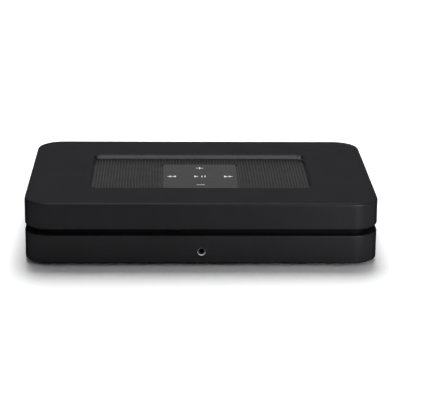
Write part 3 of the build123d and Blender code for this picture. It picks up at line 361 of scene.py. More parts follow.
def pill(half_width, half_height, sections):
    """A pill-shaped plug that looks to the front: each section is (shrink, distance in front of y = 0)."""
    rings = [[half_width - s, half_height - s, half_height - s - 0.002, front, 0, 0] for s, front in sections]
    return facing_front(skin(rings, False, 10))


pill_hole = placed(pill(4.05, 1.4, [[0, 58.0], [0, BEYOND]]), WINDOW_X, 0, WINDOW_Z)
cut(waist_band, [box_shape(BAY_HALF, BAY_FRONT, BEYOND, 19.0, 27.0), pill_hole])
window = pill(3.75, 1.1, [[0, 59.5], [0, 67.7], [0.04, 67.85], [0.15, 67.96], [0.3, 68.0]])
make_piece("ir_lens", placed(window, WINDOW_X, 0, WINDOW_Z), "window_plastic", ["ir_window"])

# %% [markdown]
# ## The ribbed floor of the tray
#
# The floor of the tray is a separate moulding with fine ribs that run from front to back, 1.9 mm apart. From
# the photograph's distance they are about three pixels wide, so they could be painted as a bump, but close up
# and along the tray's edges a bump shows as flat. Each rib is a real bar with a rounded top. All bars come from
# one section that is copied to every place in one array.

# %% The slab under the ribs, with the seat of the touch plate
SEAT_Y, SEAT_HALF_X, SEAT_HALF_Y, SEAT_FLOOR, SLAB_BOTTOM = -5.4, 24.5, 27.9, 37.3, 36.0
edge, seat, hole = [78.7, 47.0, 13.5], [SEAT_HALF_X, SEAT_HALF_Y, 1.3], [21.7, 25.1, 0.6]
slab = skin([
    [*edge, SLAB_BOTTOM, 0, 0],
    [*edge, TRAY_FLOOR, 0, 0],
    [*seat, TRAY_FLOOR, 0, SEAT_Y],
    [*seat, SEAT_FLOOR, 0, SEAT_Y],
    [*hole, SEAT_FLOOR, 0, SEAT_Y],
    [*hole, SLAB_BOTTOM, 0, SEAT_Y],
], True)

# %% The ribs
PITCH, RIBS, ROOM_X, ROOM_Y, ROOM_RADIUS, RIB_FOOT = 1.9, 73, 69.3, 37.6, 4.4, 0.65
right_side = np.array([[RIB_FOOT, -0.06], [RIB_FOOT, 0.0], [0.47, 0.36], [0.42, 0.44], [0.33, 0.485], [0.2, 0.5]])
RIB_SECTION = np.concatenate((right_side, right_side[::-1] * [-1, 1]))


def rib_bars(places, starts, ends):
    """Bars along Y: the rib's section stands at each place x, from y = start to y = end, on the slab's top."""
    count, size = len(places), len(RIB_SECTION)
    x = places[:, None, None] + RIB_SECTION[None, None, :, 0]
    y = np.stack((starts, ends), -1)[:, :, None]
    z = TRAY_FLOOR + RIB_SECTION[None, None, :, 1]
    points = np.stack(np.broadcast_arrays(x, y, z), -1).reshape(-1, 3)
    here = np.arange(size)
    ahead = (here + 1) % size
    sides = np.stack((here, here + size, ahead + size, ahead), -1)
    first = (np.arange(count) * 2 * size)[:, None, None]
    caps = np.stack((here, here[::-1] + size))
    return points, (first + sides).reshape(-1, 4).tolist() + (first + caps).reshape(-1, size).tolist()


rib_x = (np.arange(RIBS) - (RIBS - 1) / 2) * PITCH
beyond = np.clip(np.abs(rib_x) + RIB_FOOT - (ROOM_X - ROOM_RADIUS), 0, ROOM_RADIUS)
reach = ROOM_Y - ROOM_RADIUS + np.sqrt(ROOM_RADIUS**2 - beyond**2)
split = np.abs(rib_x) < SEAT_HALF_X + RIB_FOOT
seat_front, seat_back = (np.full(split.sum(), SEAT_Y + way * SEAT_HALF_Y) for way in (-1, 1))
ribs = joined([
    rib_bars(rib_x[~split], -reach[~split], reach[~split]),
    rib_bars(rib_x[split], -reach[split], seat_front),
    rib_bars(rib_x[split], seat_back, reach[split]),
])
make_piece("ribbed_floor", joined([slab, ribs]), "ribbed_plastic", ["ribbed_insert"])
print("ribs:", RIBS, "of which", int(split.sum()), "stop at the touch plate")

# %% [markdown]
# ## The touch plate and its marks
#
# The touch plate is a flat satin tile that stands a tenth of a millimetre above the ribs. Its edge is broken
# by a tiny radius that catches the light. The marks are printed: plus and minus for the volume, and the usual
# signs for back, play, pause and on. Printed ink has a thickness, so the marks are prisms a fiftieth of a
# millimetre high. A texture would need an image, and a Boolean cut would make grooves that the real plate
# doesn't have.

# %% The touch plate
def plate_rings(half_x, half_y, radius, low, high, soft, middle_y):
    """A plate whose upper edge is a quarter round of the radius `soft`, with holding strips beside it."""
    edge = arc((soft, high - soft), soft, 180, 90, 4)
    section = np.concatenate(([[0.1, low], [0, low + 0.1], [0, high - soft - 0.1]], edge, [[soft + 0.12, high]]))
    return [[half_x - s, half_y - s, max(radius - s, 0.05), z, 0, middle_y] for s, z in section]


PLATE_TOP = 38.6
touch_rings = plate_rings(24.2, 27.6, 1.0, SEAT_FLOOR, PLATE_TOP, 0.22, SEAT_Y)
make_piece("touch_plate", skin(touch_rings, False), "touch_plate", ["touch_panel"])


# %% The printed marks
INK = 0.02


def prism(outline, x, y, low, high):
    """An outline that goes round anticlockwise, moved to (x, y) and drawn up from one height to another."""
    outline = np.asarray(outline, float) + (x, y)
    ends = [np.insert(outline, 2, height, axis=1) for height in (low, high)]
    return np.concatenate(ends), grid_faces(2, len(outline), False) + end_caps(2, len(outline))


def printed(outline, x, y):
    """A mark of printed ink, a hair thick, on the touch plate."""
    return prism(outline, x, y, PLATE_TOP - INK, PLATE_TOP + INK)


def bar_outline(width, depth):
    """A rectangle about its middle, anticlockwise from its front left corner."""
    return np.array([[-1, -1], [1, -1], [1, 1], [-1, 1]]) * (width / 2, depth / 2)


def arrow_outline(width, depth, way):
    """A triangle about its middle that points along +X or, mirrored and turned round, along -X."""
    outline = np.array([[-width / 2, -depth / 2], [width / 2, 0], [-width / 2, depth / 2]])
    return outline if way > 0 else outline[::-1] * (-1, 1)


def plus_outline(size, stroke):
    """Twelve corners of a plus sign: three for each arm, each arm a quarter turn on from the last."""
    arm = np.array([[stroke, -stroke], [size, -stroke], [size, stroke]]) / 2
    turns = [np.array([[c, s], [-s, c]]) for c, s in ((1, 0), (0, 1), (-1, 0), (0, -1))]
    return np.concatenate([arm @ turn for turn in turns])


MARK_ROW, STROKE = -5.7, 0.75
mark_size, pause_bar = (2.9, 3.8), bar_outline(0.8, 3.8)
back, ahead = (arrow_outline(*mark_size, way) for way in (-1, 1))
row = [(back, -20.2), (back, -17.2), (ahead, -2.4), (pause_bar, 1.2), (pause_bar, 3.2), (ahead, 17.1),
       (ahead, 20.1)]
marks = joined([
    printed(plus_outline(5.0, STROKE), 0, 13.7),
    printed(bar_outline(5.2, STROKE), 0, -24.4),
    *(printed(outline, x, MARK_ROW) for outline, x in row),
])
make_piece("touch_marks", marks, "light_guide")

# %% [markdown]
# ## The headphone ring and the feet
#
# Round things are turned on a lathe, and so are these: a profile goes round an axis. The ring is a
# short tube with a funnel mouth that guides the plug, and the funnel is what catches the light in the
# photograph. The rubber feet have a rounded lower edge and a shallow dish, as moulded feet have so that they
# grip with their rim.

# %% The headphone ring
RING_OUTER, RING_BORE, RING_BACK, RING_ROUND = 3.3, 1.8, 70.6, 0.15
ROUND_DEPTH = HALF_DEPTH - RING_ROUND
ring_profile = np.concatenate((
    [[RING_OUTER, RING_BACK], [RING_OUTER, 72.7]],
    arc((RING_OUTER - RING_ROUND, ROUND_DEPTH), RING_ROUND, 0, 90, 4),
    [[2.75, HALF_DEPTH]],
    arc((2.6, ROUND_DEPTH), RING_ROUND, 90, 135, 3),
    [[1.95, 72.41], [1.84, 72.22], [RING_BORE, 71.95], [RING_BORE, RING_BACK]],
))
ring_shape = placed(facing_front(lathe(ring_profile, True, 64)), z=HEADPHONE_Z)
jack_ring = make_piece("jack_ring", ring_shape, "bright_metal", ["headphone_ring"], sharp=40)

# %% The feet
AXIS, FOOT_RADIUS, FOOT_ROUND, FOOT_TOP, DISH = 0.01, 8.0, 0.6, 2.6, 0.45
FOOT_X, FOOT_Y = 85, 48
foot_profile = np.concatenate((
    [[AXIS, DISH], [5.6, DISH], [5.9, 0.32], [6.1, 0.08], [6.3, 0.0], [7.3, 0.0]],
    arc((FOOT_RADIUS - FOOT_ROUND, FOOT_ROUND), FOOT_ROUND, 270, 360, 5),
    [[FOOT_RADIUS, 0.8], [FOOT_RADIUS, 2.55], [7.95, FOOT_TOP], [AXIS, FOOT_TOP]],
))
foot = lathe(foot_profile, False, 56)
feet = joined([placed(foot, x, y) for x in (-FOOT_X, FOOT_X) for y in (-FOOT_Y, FOOT_Y)])
make_piece("feet", feet, "foot_rubber", ["rubber_feet"])

# %% [markdown]
# ## Soft edges on the CAD model's own pieces
#
# The meshes of the CAD nodes are loose triangles with knife-sharp edges, and round ones show their facets. No
# moulded or pressed edge is that sharp, and a sharp edge never catches the light. A copy whose points are merged
# and whose flats are joined again can be shaded smooth, and its edges can be broken by a tenth of a millimetre.
# Every socket could be modelled anew instead, but where the form is right already a copy keeps its exact holes.
# Smooth shading would bend the light on a wide flat face beside a narrow bevel, so the normals of the copies are
# weighted by the size of the faces, which keeps the flats flat.

# %% Join the flats of a mesh and break its edges
SAME_POINT, SAME_PLANE, HARD_EDGE = 0.002, 0.5, 35


def broken_edges(mesh, edge):
    """Merges points, joins faces that lie in one plane, and bevels the hard edges by a width in mm."""
    work = bmesh.new()
    work.from_mesh(mesh)
    bmesh.ops.remove_doubles(work, verts=work.verts, dist=SAME_POINT * MM)
    bmesh.ops.dissolve_limit(work, angle_limit=math.radians(SAME_PLANE), verts=work.verts, edges=work.edges)
    if edge:
        hard = [line for line in work.edges if line.calc_face_angle(0) > math.radians(HARD_EDGE)]
        bmesh.ops.bevel(work, geom=hard, offset=edge * MM, segments=2, profile=0.5, affect="EDGES",
                        clamp_overlap=True)
    work.to_mesh(mesh)
    work.free()


record_slot = {part["node"]: part["material_slot"] for part in frame["record"]["subparts"]}
print("slots of the record:", sorted(set(record_slot.values())))


def soft_copy(node, edge=0.0, body="casing"):
    """A copy of a CAD node with broken edges, in mm, shaded smooth, which then stands for the node."""
    mesh = frame["nodes"][node].data.copy()
    broken_edges(mesh, edge)
    piece = finish_piece("soft_" + node, mesh, record_slot[node], [node], body)
    if edge:
        flats = piece.modifiers.new("level_flats", "WEIGHTED_NORMAL")
        flats.keep_sharp = True
        flats.weight = 100
    return piece


# %% The rear panel, the base plate and the sockets with broken edges
soft_copy("rear_panel", 0.2)
soft_copy("base_plate", 0.12)
soft_copy("mains_inlet", 0.25)
soft_copy("optical_socket", 0.15)
soft_copy("optical_shutter", 0.12, "optical_shutter")
soft_copy("usb_tongue", 0.15)
FINE_EDGE = 0.08
for node in ("trigger_socket", "ir_input_socket", "combined_input_socket", "headphone_socket"):
    soft_copy(node, FINE_EDGE)
line_body = soft_copy("line_output_body", FINE_EDGE)
coaxial_body = soft_copy("coaxial_output_body", FINE_EDGE)
soft_copy("subwoofer_output_body", FINE_EDGE)

# %% Round pieces inside the casing, only smoothed
for node in ("casing_screws", "board_screws", "insert_screws", "ir_board_screw", "rear_panel_screws",
             "mains_fuse", "audio_capacitors", "supply_capacitors", "mains_filter_coil", "shutter_pin",
             "shutter_spring", "optical_emitter", "aerial_leads"):
    soft_copy(node)

# %% [markdown]
# ## The phono sockets and the mains pins
#
# A phono socket's barrel is turned from brass and plated. Its mouth is rolled over and chamfered inside, so that
# the plug finds its way, and a shallow groove runs round its foot. The CAD solid is a plain tube, so the barrel
# and the sprung sleeve inside it are turned again here, from profiles with those details. The round pins of the
# mains inlet get their domed tips in the same way.

# %% Turned pieces that look to the rear
PANEL_BACK, PHONO_Z, INLET_Z = 61.5, 17.8, 18.5
PHONO_X = {"coaxial": 33.972, "subwoofer": 47.3984, "line_right": 60.8248, "line_left": 74.2512}


def turned_to_rear(profile, places, height, closed=True):
    """One turned shape that looks to the rear, copied to several places along X at one height."""
    turned = facing_rear(lathe(profile, closed))
    return joined([placed(turned, x, 0, height) for x in places])


NECK, BARREL, BARREL_BORE, GROOVE = 3.9, 4.15, 3.4, 4.02
barrel = np.concatenate((
    [[NECK, PANEL_BACK], [NECK, 63.83], [4.0, 63.85], [BARREL, 64.0], [BARREL, 64.9]],
    [[GROOVE, 65.0], [GROOVE, 65.4], [BARREL, 65.5], [BARREL, 71.05]],
    arc((3.87, 71.22), 0.28, 0, 90, 5),
    [[3.72, 71.5], [3.6, 71.45], [3.42, 71.15], [BARREL_BORE, 71.0], [BARREL_BORE, PANEL_BACK]],
))
SLEEVE, SLEEVE_BORE, SLEEVE_BACK = 1.95, 1.65, 60.5
sleeve = [[SLEEVE, SLEEVE_BACK], [SLEEVE, 69.95], [1.91, 70.06], [1.8, 70.1], [1.69, 70.06],
          [SLEEVE_BORE, 69.95], [SLEEVE_BORE, SLEEVE_BACK]]
make_piece("phono_barrels", turned_to_rear(barrel, PHONO_X.values(), PHONO_Z), "gold_plate", ["phono_shells"])
make_piece("phono_sleeves", turned_to_rear(sleeve, PHONO_X.values(), PHONO_Z), "gold_plate", ["phono_contacts"])

INLET_X, PIN_SPACING, PIN, PIN_BACK, DOME = -68.0244, 8.6, 1.2, 49.4, 0.8
pin = np.concatenate((
    [[AXIS, PIN_BACK], [PIN, PIN_BACK], [PIN, 60.0]],
    arc((PIN - DOME, 60.1), DOME, 0, 90, 6),
    [[AXIS, 60.9]],
))
pin_places = (INLET_X - PIN_SPACING / 2, INLET_X + PIN_SPACING / 2)
make_piece("inlet_pins", turned_to_rear(pin, pin_places, INLET_Z, False), "bright_metal", ["mains_pins"])

# %% [markdown]
# ## The network and serial sockets
#
# The network socket is a black moulding in a folded steel shield, with eight sprung wires that slope down from
# its roof. The CAD node is one block with the stepped port, which is all that a plug needs. Here it becomes the
# shield, the moulding and the wires, because the dark port in the bright frame is what one sees. The serial
# socket's shell gets its rounded corners and rolled mouth, and the tongue its four contacts.

# %% A bent strip of wire or sheet
def bent_strip(path, x, width, thickness):
    """A strip whose middle line is a path of (y, z) points: half its thickness is added along the normal."""
    path = np.asarray(path, float)
    along = np.gradient(path, axis=0)
    along /= np.linalg.norm(along, axis=1)[:, None]
    normal = np.stack((-along[:, 1], along[:, 0]), -1) * thickness / 2
    side = np.array([-1, 1, 1, -1]) * width / 2
    lift = np.array([-1, -1, 1, 1])
    y_z = path[:, None, :] + lift[None, :, None] * normal[:, None, :]
    points = np.concatenate((np.broadcast_to(x + side[None, :, None], (len(path), 4, 1)), y_z), -1)
    return points.reshape(-1, 3), [face[::-1] for face in grid_faces(len(path), 4, False) + end_caps(len(path), 4)]


# %% The network socket: shield, moulding and wires
NETWORK_X, PORT_BACK, PORT_FRONT, WIRE_PITCH = -41.4972, 50.4, 64.5, 1.016
port = [(5.9, 16.0, 23.2), (3.1, 14.5, 17.0), (2.0, 13.0, 15.5)]


def network_box(inset):
    """The outside of the network socket's shield, moved inwards by an inset on all six sides."""
    return box_shape(8.0 - inset, 42.4 + inset, 63.4 - inset, 11.8 + inset, 25.4 - inset, NETWORK_X)


def port_boxes(back):
    """Cutters for the stepped port, from a depth to just in front of the socket."""
    return [box_shape(half, back, PORT_FRONT, low, high, NETWORK_X) for half, low, high in port]


shield = make_piece("network_shield", network_box(0), "shield_metal", ["ethernet_socket"])
cut(shield, [network_box(0.35), *port_boxes(62.0)])
moulding = make_piece("network_moulding", network_box(0.4), "socket_plastic")
cut(moulding, port_boxes(PORT_BACK))
wire_path = [(61.6, 23.35), (60.9, 22.85), (60.0, 22.5), (53.4, 19.95), (52.2, 19.6), (50.2, 19.55)]
wires = joined([bent_strip(wire_path, NETWORK_X + (place - 3.5) * WIRE_PITCH, 0.42, 0.2) for place in range(8)])
make_piece("network_wires", wires, "gold_plate")

# %% The serial socket: shell and contacts
SERIAL_X, SERIAL_Z = -23.5216, 15.0
SHELL_BACK, SHEET = 48.9, 0.4
mouth = [(0, 63.22), (0.05, 63.34), (0.15, 63.4), (0.27, 63.38), (0.37, 63.28), (SHEET, 63.1)]
section = [(0, SHELL_BACK), *mouth, (SHEET, SHELL_BACK)]
tube = facing_rear(skin([[6.6 - s, 3.2 - s, 0.8 - s, y, 0, 0] for s, y in section], True, 8))
make_piece("serial_shell", placed(tube, SERIAL_X, 0, SERIAL_Z), "shield_metal", ["usb_socket_shell"])
contact_path = [(50.0, 15.3), (57.4, 15.3), (58.0, 15.42)]
contacts = joined([bent_strip(contact_path, SERIAL_X + x, 1.0, 0.14) for x in (-3.5, -1.0, 1.0, 3.5)])
make_piece("serial_contacts", contacts, "gold_plate")

# %% [markdown]
# ## The screws under the base
#
# Six screws hold the base plate, and their heads show from below. A screw is turned like a foot, with a rounded
# head and a saw-tooth profile for its thread, and a cross is sunk into the head. A true helix would cost
# thousands of faces inside a hole where nobody sees it, so the thread is a row of rings.

# %% The screws of the base plate
PLATE_BOTTOM, SCREW_END, THREAD_PITCH = 2.6, 11.2, 0.8
THREAD_TOP, THREAD_ROOT, HEAD_RADIUS, HEAD_ROUND, HEAD_LOW = 1.4, 1.15, 2.7, 0.8, 0.8
turns = np.arange(3.2, 10.4, THREAD_PITCH)
thread_heights = np.stack((turns, turns + THREAD_PITCH / 2), -1).ravel()
thread = np.stack((np.tile([THREAD_TOP, THREAD_ROOT], len(turns)), thread_heights), -1)
screw_profile = np.concatenate((
    [[AXIS, HEAD_LOW]],
    arc((HEAD_RADIUS - HEAD_ROUND, HEAD_LOW + HEAD_ROUND), HEAD_ROUND, 270, 360, 6),
    [[HEAD_RADIUS, PLATE_BOTTOM], [THREAD_TOP, PLATE_BOTTOM]],
    thread,
    [[0.5, SCREW_END], [AXIS, SCREW_END]],
))
screw_places = [(x, y) for x in (-99.0, 99.0) for y in (-62.0, 62.0)] + [(-39.6, -63.6), (39.6, -63.6)]
screw = lathe(screw_profile, False, 40)
screws = make_piece("crosshead_screws", joined([placed(screw, x, y) for x, y in screw_places]), "screw_steel",
                    ["base_screws"])
cross = plus_outline(3.1, 0.75)
cut(screws, [joined([prism(cross, x, y, 0.3, 1.75) for x, y in screw_places])])

# %% [markdown]
# ## Plastics
#
# The black plastic isn't one colour. Its surface was eroded in the mould to a fine satin grain, its gloss
# wanders a little from place to place, and its black has a trace of blue. A single colour with one roughness
# gives a lifeless surface, and a photograph as a texture isn't wanted, so three noises do it: a fine one as
# bump, and two broad ones that shift the colour and the roughness by a few percent.

# %% Nodes that every finish starts with
def new_finish(name):
    """A node material with its tree, its shader and object coordinates."""
    finish = bpy.data.materials.new(name)
    finish.use_nodes = True
    tree = finish.node_tree
    shader = tree.nodes["Principled BSDF"]
    where = tree.nodes.new("ShaderNodeTexCoord").outputs["Object"]
    return finish, tree, shader, where


def noise(tree, where, size, detail=2.0):
    """Noise with bumps of about the given size in mm."""
    node = tree.nodes.new("ShaderNodeTexNoise")
    node.inputs["Scale"].default_value = 1 / (size * MM)
    node.inputs["Detail"].default_value = detail
    tree.links.new(where, node.inputs["Vector"])
    return node.outputs["Fac"]


def remap(tree, value, first, last, low=0.0, high=1.0):
    """Maps a value's range from first to last to the range from low to high, and clamps it."""
    node = tree.nodes.new("ShaderNodeMapRange")
    for socket, number in (("From Min", first), ("From Max", last), ("To Min", low), ("To Max", high)):
        node.inputs[socket].default_value = number
    tree.links.new(value, node.inputs["Value"])
    return node.outputs["Result"]


def spread(tree, value, low, high):
    """Maps the middle of a noise, where most of its values lie, to the range from low to high."""
    return remap(tree, value, 0.3, 0.7, low, high)


def blend(tree, value, first, second):
    """A colour between two colours, by a value from 0 to 1."""
    node = tree.nodes.new("ShaderNodeMix")
    node.data_type = "RGBA"
    for socket, colour in ((6, first), (7, second)):
        node.inputs[socket].default_value = (*colour, 1)
    tree.links.new(value, node.inputs["Factor"])
    return node.outputs[2]


def raise_bump(tree, shader, height, depth):
    """Sends a height through a bump node, depth in mm, to the shader."""
    node = tree.nodes.new("ShaderNodeBump")
    node.inputs["Distance"].default_value = depth * MM
    tree.links.new(height, node.inputs["Height"])
    tree.links.new(node.outputs["Normal"], shader.inputs["Normal"])


# %% The moulded plastics
def moulded(name, colour, roughness, specular=0.5, grain=0.25, depth=0.01, mottle=0.1, flake=0.0):
    """Moulded plastic: fine grain as bump, and colour and roughness that wander by a few percent."""
    finish, tree, shader, where = new_finish(name)
    broad = spread(tree, noise(tree, where, 22, 3), 0, 1)
    dark, light = ([channel * factor for channel in colour] for factor in (1 - mottle, 1 + mottle))
    tree.links.new(blend(tree, broad, dark, light), shader.inputs["Base Color"])
    gloss = spread(tree, noise(tree, where, 9, 4), roughness - 0.03, roughness + 0.03)
    tree.links.new(gloss, shader.inputs["Roughness"])
    shader.inputs["Specular IOR Level"].default_value = specular
    shader.inputs["Metallic"].default_value = flake
    if flake:
        shader.inputs["Specular Tint"].default_value = (0.3, 0.3, 0.3, 1)
    raise_bump(tree, shader, noise(tree, where, grain, 2), depth)
    return finish


finishes = {
    "casing_plastic": moulded("satin_black_shell", (0.0322, 0.0316, 0.0338), 0.31, 0.0, 0.3, 0.008, 0.04, 0.22),
    # The waist's colour is painted shade: the same plastic as the shells, set far darker to deepen its recess.
    "waist_plastic": moulded("black_waist", (0.0046, 0.0046, 0.0056), 0.5, 0.026, 0.3, 0.008),
    "touch_plate": moulded("satin_touch_tile", (0.05, 0.05, 0.0497), 0.34, 0.02, 0.2, 0.004, 0.04),
    "window_plastic": moulded("dark_window", (0.008, 0.007, 0.008), 0.24, 0.03, 1.0, 0.001),
    "panel_plastic": moulded("rear_panel_black", (0.02, 0.02, 0.021), 0.45, 0.3, 0.35, 0.015),
    "socket_plastic": moulded("socket_black", (0.014, 0.014, 0.015), 0.31, 0.45, 0.3, 0.006),
    "header_plastic": moulded("header_cream", (0.62, 0.57, 0.46), 0.5, 0.4, 0.3, 0.01),
    "chip_plastic": moulded("chip_epoxy", (0.018, 0.018, 0.02), 0.6, 0.3, 0.15, 0.02),
    "foot_rubber": moulded("foot_rubber", (0.02, 0.02, 0.021), 0.75, 0.25, 0.4, 0.03),
    "light_guide": moulded("printed_marks", (0.68, 0.68, 0.69), 0.5, 0.3, 0.2, 0.004, 0.03),
    "thermal_rubber": moulded("thermal_pad", (0.22, 0.27, 0.33), 0.8, 0.3, 0.5, 0.03),
    "insulation_film": moulded("insulation_film", (0.75, 0.72, 0.6), 0.35, 0.4, 3.0, 0.05),
    "lead_jacket": moulded("lead_jacket", (0.02, 0.02, 0.022), 0.5, 0.4, 0.8, 0.01),
    "ribbon_film": moulded("ribbon_film", (0.45, 0.25, 0.05), 0.4, 0.4, 1.0, 0.01),
    "capacitor_sleeve": moulded("capacitor_sleeve", (0.02, 0.025, 0.05), 0.35, 0.5, 0.5, 0.01),
    "fuse_ceramic": moulded("fuse_ceramic", (0.7, 0.68, 0.62), 0.3, 0.5, 0.6, 0.01),
}

# %% The ribbed floor, with painted shade between its ribs
def ribbed(name):
    """Grey plastic with painted shade: its colour falls from the rib tops to the gaps between them, by the height
    of the point.
    """
    finish = moulded(name, (0.02, 0.02, 0.0202), 0.32, 0.045, 0.3, 0.008)
    tree = finish.node_tree
    shader = tree.nodes["Principled BSDF"]
    where = tree.nodes.new("ShaderNodeTexCoord").outputs["Object"]
    height = tree.nodes.new("ShaderNodeSeparateXYZ")
    tree.links.new(where, height.inputs["Vector"])
    # Painted shade: the colour darkens from the rib tops down into the gaps, where shade falls.
    gap_shade = remap(tree, height.outputs["Z"], (TRAY_FLOOR + 0.05) * MM, (TRAY_FLOOR + 0.45) * MM)
    colour = blend(tree, gap_shade, (0.0075, 0.0075, 0.0077), (0.0165, 0.0165, 0.0168))
    tree.links.new(colour, shader.inputs["Base Color"])
    return finish


# %% [markdown]
# ## Metals, boards and windings
#
# Bare metal is told from paint by its tint and by how its gloss breaks up. Drawn and rolled parts carry fine
# lines, so the bump of the metals is a noise that is stretched along one axis. The circuit boards are green
# lacquer over copper, so their colour has faint straight tracks. The windings are turns of enamelled wire, which
# bands along one axis show well enough inside a closed box.

# %% The metals
LINE_SIZE, LINE_DEPTH, ALONG_Y, ALONG_Z = 0.25, 0.004, (1, 0.05, 1), (1, 1, 0.05)


def worked_metal(name, colour, roughness, stretch=ALONG_Z):
    """Metal with fine lines: noise on coordinates that are squeezed along the direction of working."""
    finish, tree, shader, where = new_finish(name)
    lines = tree.nodes.new("ShaderNodeMapping")
    lines.inputs["Scale"].default_value = stretch
    tree.links.new(where, lines.inputs["Vector"])
    grain = noise(tree, lines.outputs["Vector"], LINE_SIZE, 3)
    darker = [channel * 0.8 for channel in colour]
    tree.links.new(blend(tree, spread(tree, noise(tree, where, 6, 3), 0, 1), darker, colour),
                   shader.inputs["Base Color"])
    tree.links.new(spread(tree, grain, roughness - 0.05, roughness + 0.08), shader.inputs["Roughness"])
    shader.inputs["Metallic"].default_value = 1.0
    raise_bump(tree, shader, grain, LINE_DEPTH)
    return finish


finishes["ribbed_plastic"] = ribbed("grey_ribs")
finishes.update({
    "painted_steel": moulded("painted_steel", (0.014, 0.014, 0.015), 0.55, 0.3, 0.5, 0.03),
    "screw_steel": worked_metal("blackened_screws", (0.09, 0.09, 0.095), 0.35),
    "bright_metal": worked_metal("nickel_plate", (0.55, 0.54, 0.52), 0.22),
    "gold_plate": worked_metal("gold_plate", (0.86, 0.6, 0.24), 0.2),
    "shield_metal": worked_metal("tinned_shield", (0.55, 0.56, 0.57), 0.34, ALONG_Y),
    "sink_aluminium": worked_metal("sink_aluminium", (0.6, 0.61, 0.62), 0.38, ALONG_Y),
})


# %% The boards and the windings
def banded(name, first, second, axis, pitch, roughness, metallic=0.0):
    """Straight bands across one axis, softened by noise: tracks on a board or turns of a winding."""
    finish, tree, shader, where = new_finish(name)
    bands = tree.nodes.new("ShaderNodeTexWave")
    bands.bands_direction = axis
    bands.inputs["Scale"].default_value = 0.3142 / (pitch * MM)
    bands.inputs["Distortion"].default_value = 1.2
    bands.inputs["Detail"].default_value = 2
    tree.links.new(where, bands.inputs["Vector"])
    tree.links.new(blend(tree, bands.outputs["Fac"], first, second), shader.inputs["Base Color"])
    gloss = spread(tree, noise(tree, where, 2), roughness - 0.05, roughness + 0.05)
    tree.links.new(gloss, shader.inputs["Roughness"])
    shader.inputs["Metallic"].default_value = metallic
    raise_bump(tree, shader, bands.outputs["Fac"], 0.02)
    return finish


finishes["circuit_board"] = banded("green_board", (0.012, 0.075, 0.03), (0.02, 0.12, 0.05), "X", 1.6, 0.35)
finishes["winding"] = banded("copper_winding", (0.3, 0.1, 0.03), (0.6, 0.24, 0.08), "Z", 0.5, 0.3, 0.9)
missing = sorted(set(record_slot.values()) - set(finishes))
print("finishes:", len(finishes), "slots without a finish:", missing)

# %% [markdown]
# ## Places with a finish of their own
#
# The tray's wall is polished where the rest of the casing is grained, plugs have rubbed the funnel of the
# headphone ring, and the insulators of the phono sockets show their signals: white and red for left and right,
# orange for the digital output. Each place could be a piece of its own, but on the real object it belongs to
# one moulding or one turning. So its faces get a second finish, or the colour changes with the distance from
# an axis.

# %% The polished wall of the tray
finishes["tray_wall"] = moulded("polished_tray_wall", (0.0195, 0.0194, 0.0208), 0.18, 0.5, 0.3, 0.001)

# %% The headphone ring, dull on its face and rubbed bright where plugs go in
def rubbed_funnel(name):
    """Black nickel whose colour rises inside the radius of the funnel, measured from the ring's axis."""
    finish = worked_metal(name, (0.014, 0.014, 0.015), 0.3)
    tree = finish.node_tree
    shader = tree.nodes["Principled BSDF"]
    where = tree.nodes.new("ShaderNodeTexCoord").outputs["Object"]
    across = tree.nodes.new("ShaderNodeVectorMath")
    across.operation = "MULTIPLY_ADD"
    across.inputs[1].default_value = (1, 0, 1)
    across.inputs[2].default_value = (0, 0, -HEADPHONE_Z * MM)
    tree.links.new(where, across.inputs[0])
    radius = tree.nodes.new("ShaderNodeVectorMath")
    radius.operation = "LENGTH"
    tree.links.new(across.outputs["Vector"], radius.inputs[0])
    rubbed = remap(tree, radius.outputs["Value"], 2.65 * MM, 2.5 * MM)
    colour = blend(tree, rubbed, (0.012, 0.012, 0.013), (0.24, 0.24, 0.24))
    tree.links.new(colour, shader.inputs["Base Color"])
    shader.inputs["Specular Tint"].default_value = (0.2, 0.2, 0.2, 1)
    return finish


finishes["ring_nickel"] = rubbed_funnel("black_nickel_ring")

# %% The coloured insulators of the phono sockets
insulators = {
    "line_left": moulded("insulator_white", (0.66, 0.65, 0.62), 0.4, 0.5, 0.3, 0.01, 0.04),
    "line_right": moulded("insulator_red", (0.42, 0.015, 0.012), 0.4, 0.5, 0.3, 0.01, 0.06),
    "coaxial": moulded("insulator_orange", (0.72, 0.2, 0.015), 0.4, 0.5, 0.3, 0.01, 0.06),
}

# %% Give every piece and every CAD node its finish
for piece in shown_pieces():
    finish = finishes[piece.get("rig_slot") or record_slot.get(piece.name)]
    if not piece.material_slots:
        piece.data.materials.append(finish)
    for place in piece.material_slots:
        place.material = finish

jack_ring.data.materials[0] = finishes["ring_nickel"]

# %% Second finishes on parts of a piece
def paint_faces(piece, finish, chosen):
    """Gives a finish to the faces whose middles are chosen by a function of their x, y and z, in mm."""
    faces = piece.data.polygons
    middles, index = np.empty(3 * len(faces)), np.empty(len(faces), np.int32)
    faces.foreach_get("center", middles)
    faces.foreach_get("material_index", index)
    picked = chosen(*middles.reshape(-1, 3).T / MM)
    piece.data.materials.append(finish)
    index[picked] = len(piece.data.materials) - 1
    faces.foreach_set("material_index", index)
    print(finish.name, "covers", int(picked.sum()), "faces of", piece.name)


INSULATOR, COLLAR_FACE, WALL_END = 3.6, 64.5, 40.5


def on_tray_wall(x, y, z):
    """The sloped wall of the tray, between its floor and the round of its rim."""
    inside = (np.abs(x) < TRAY_HALF_WIDTH) & (np.abs(y) < TRAY_HALF_DEPTH)
    return inside & (z > TRAY_FLOOR + 0.2) & (z < WALL_END)


def on_insulator(socket):
    """The faces inside the barrel of one phono socket: near to its axis, and beyond the collar."""
    return lambda x, y, z: (np.hypot(x - PHONO_X[socket], z - PHONO_Z) < INSULATOR) & (y > COLLAR_FACE)


paint_faces(upper_shell, finishes["tray_wall"], on_tray_wall)
paint_faces(line_body, insulators["line_left"], on_insulator("line_left"))
paint_faces(line_body, insulators["line_right"], on_insulator("line_right"))
paint_faces(coaxial_body, insulators["coaxial"], on_insulator("coaxial"))

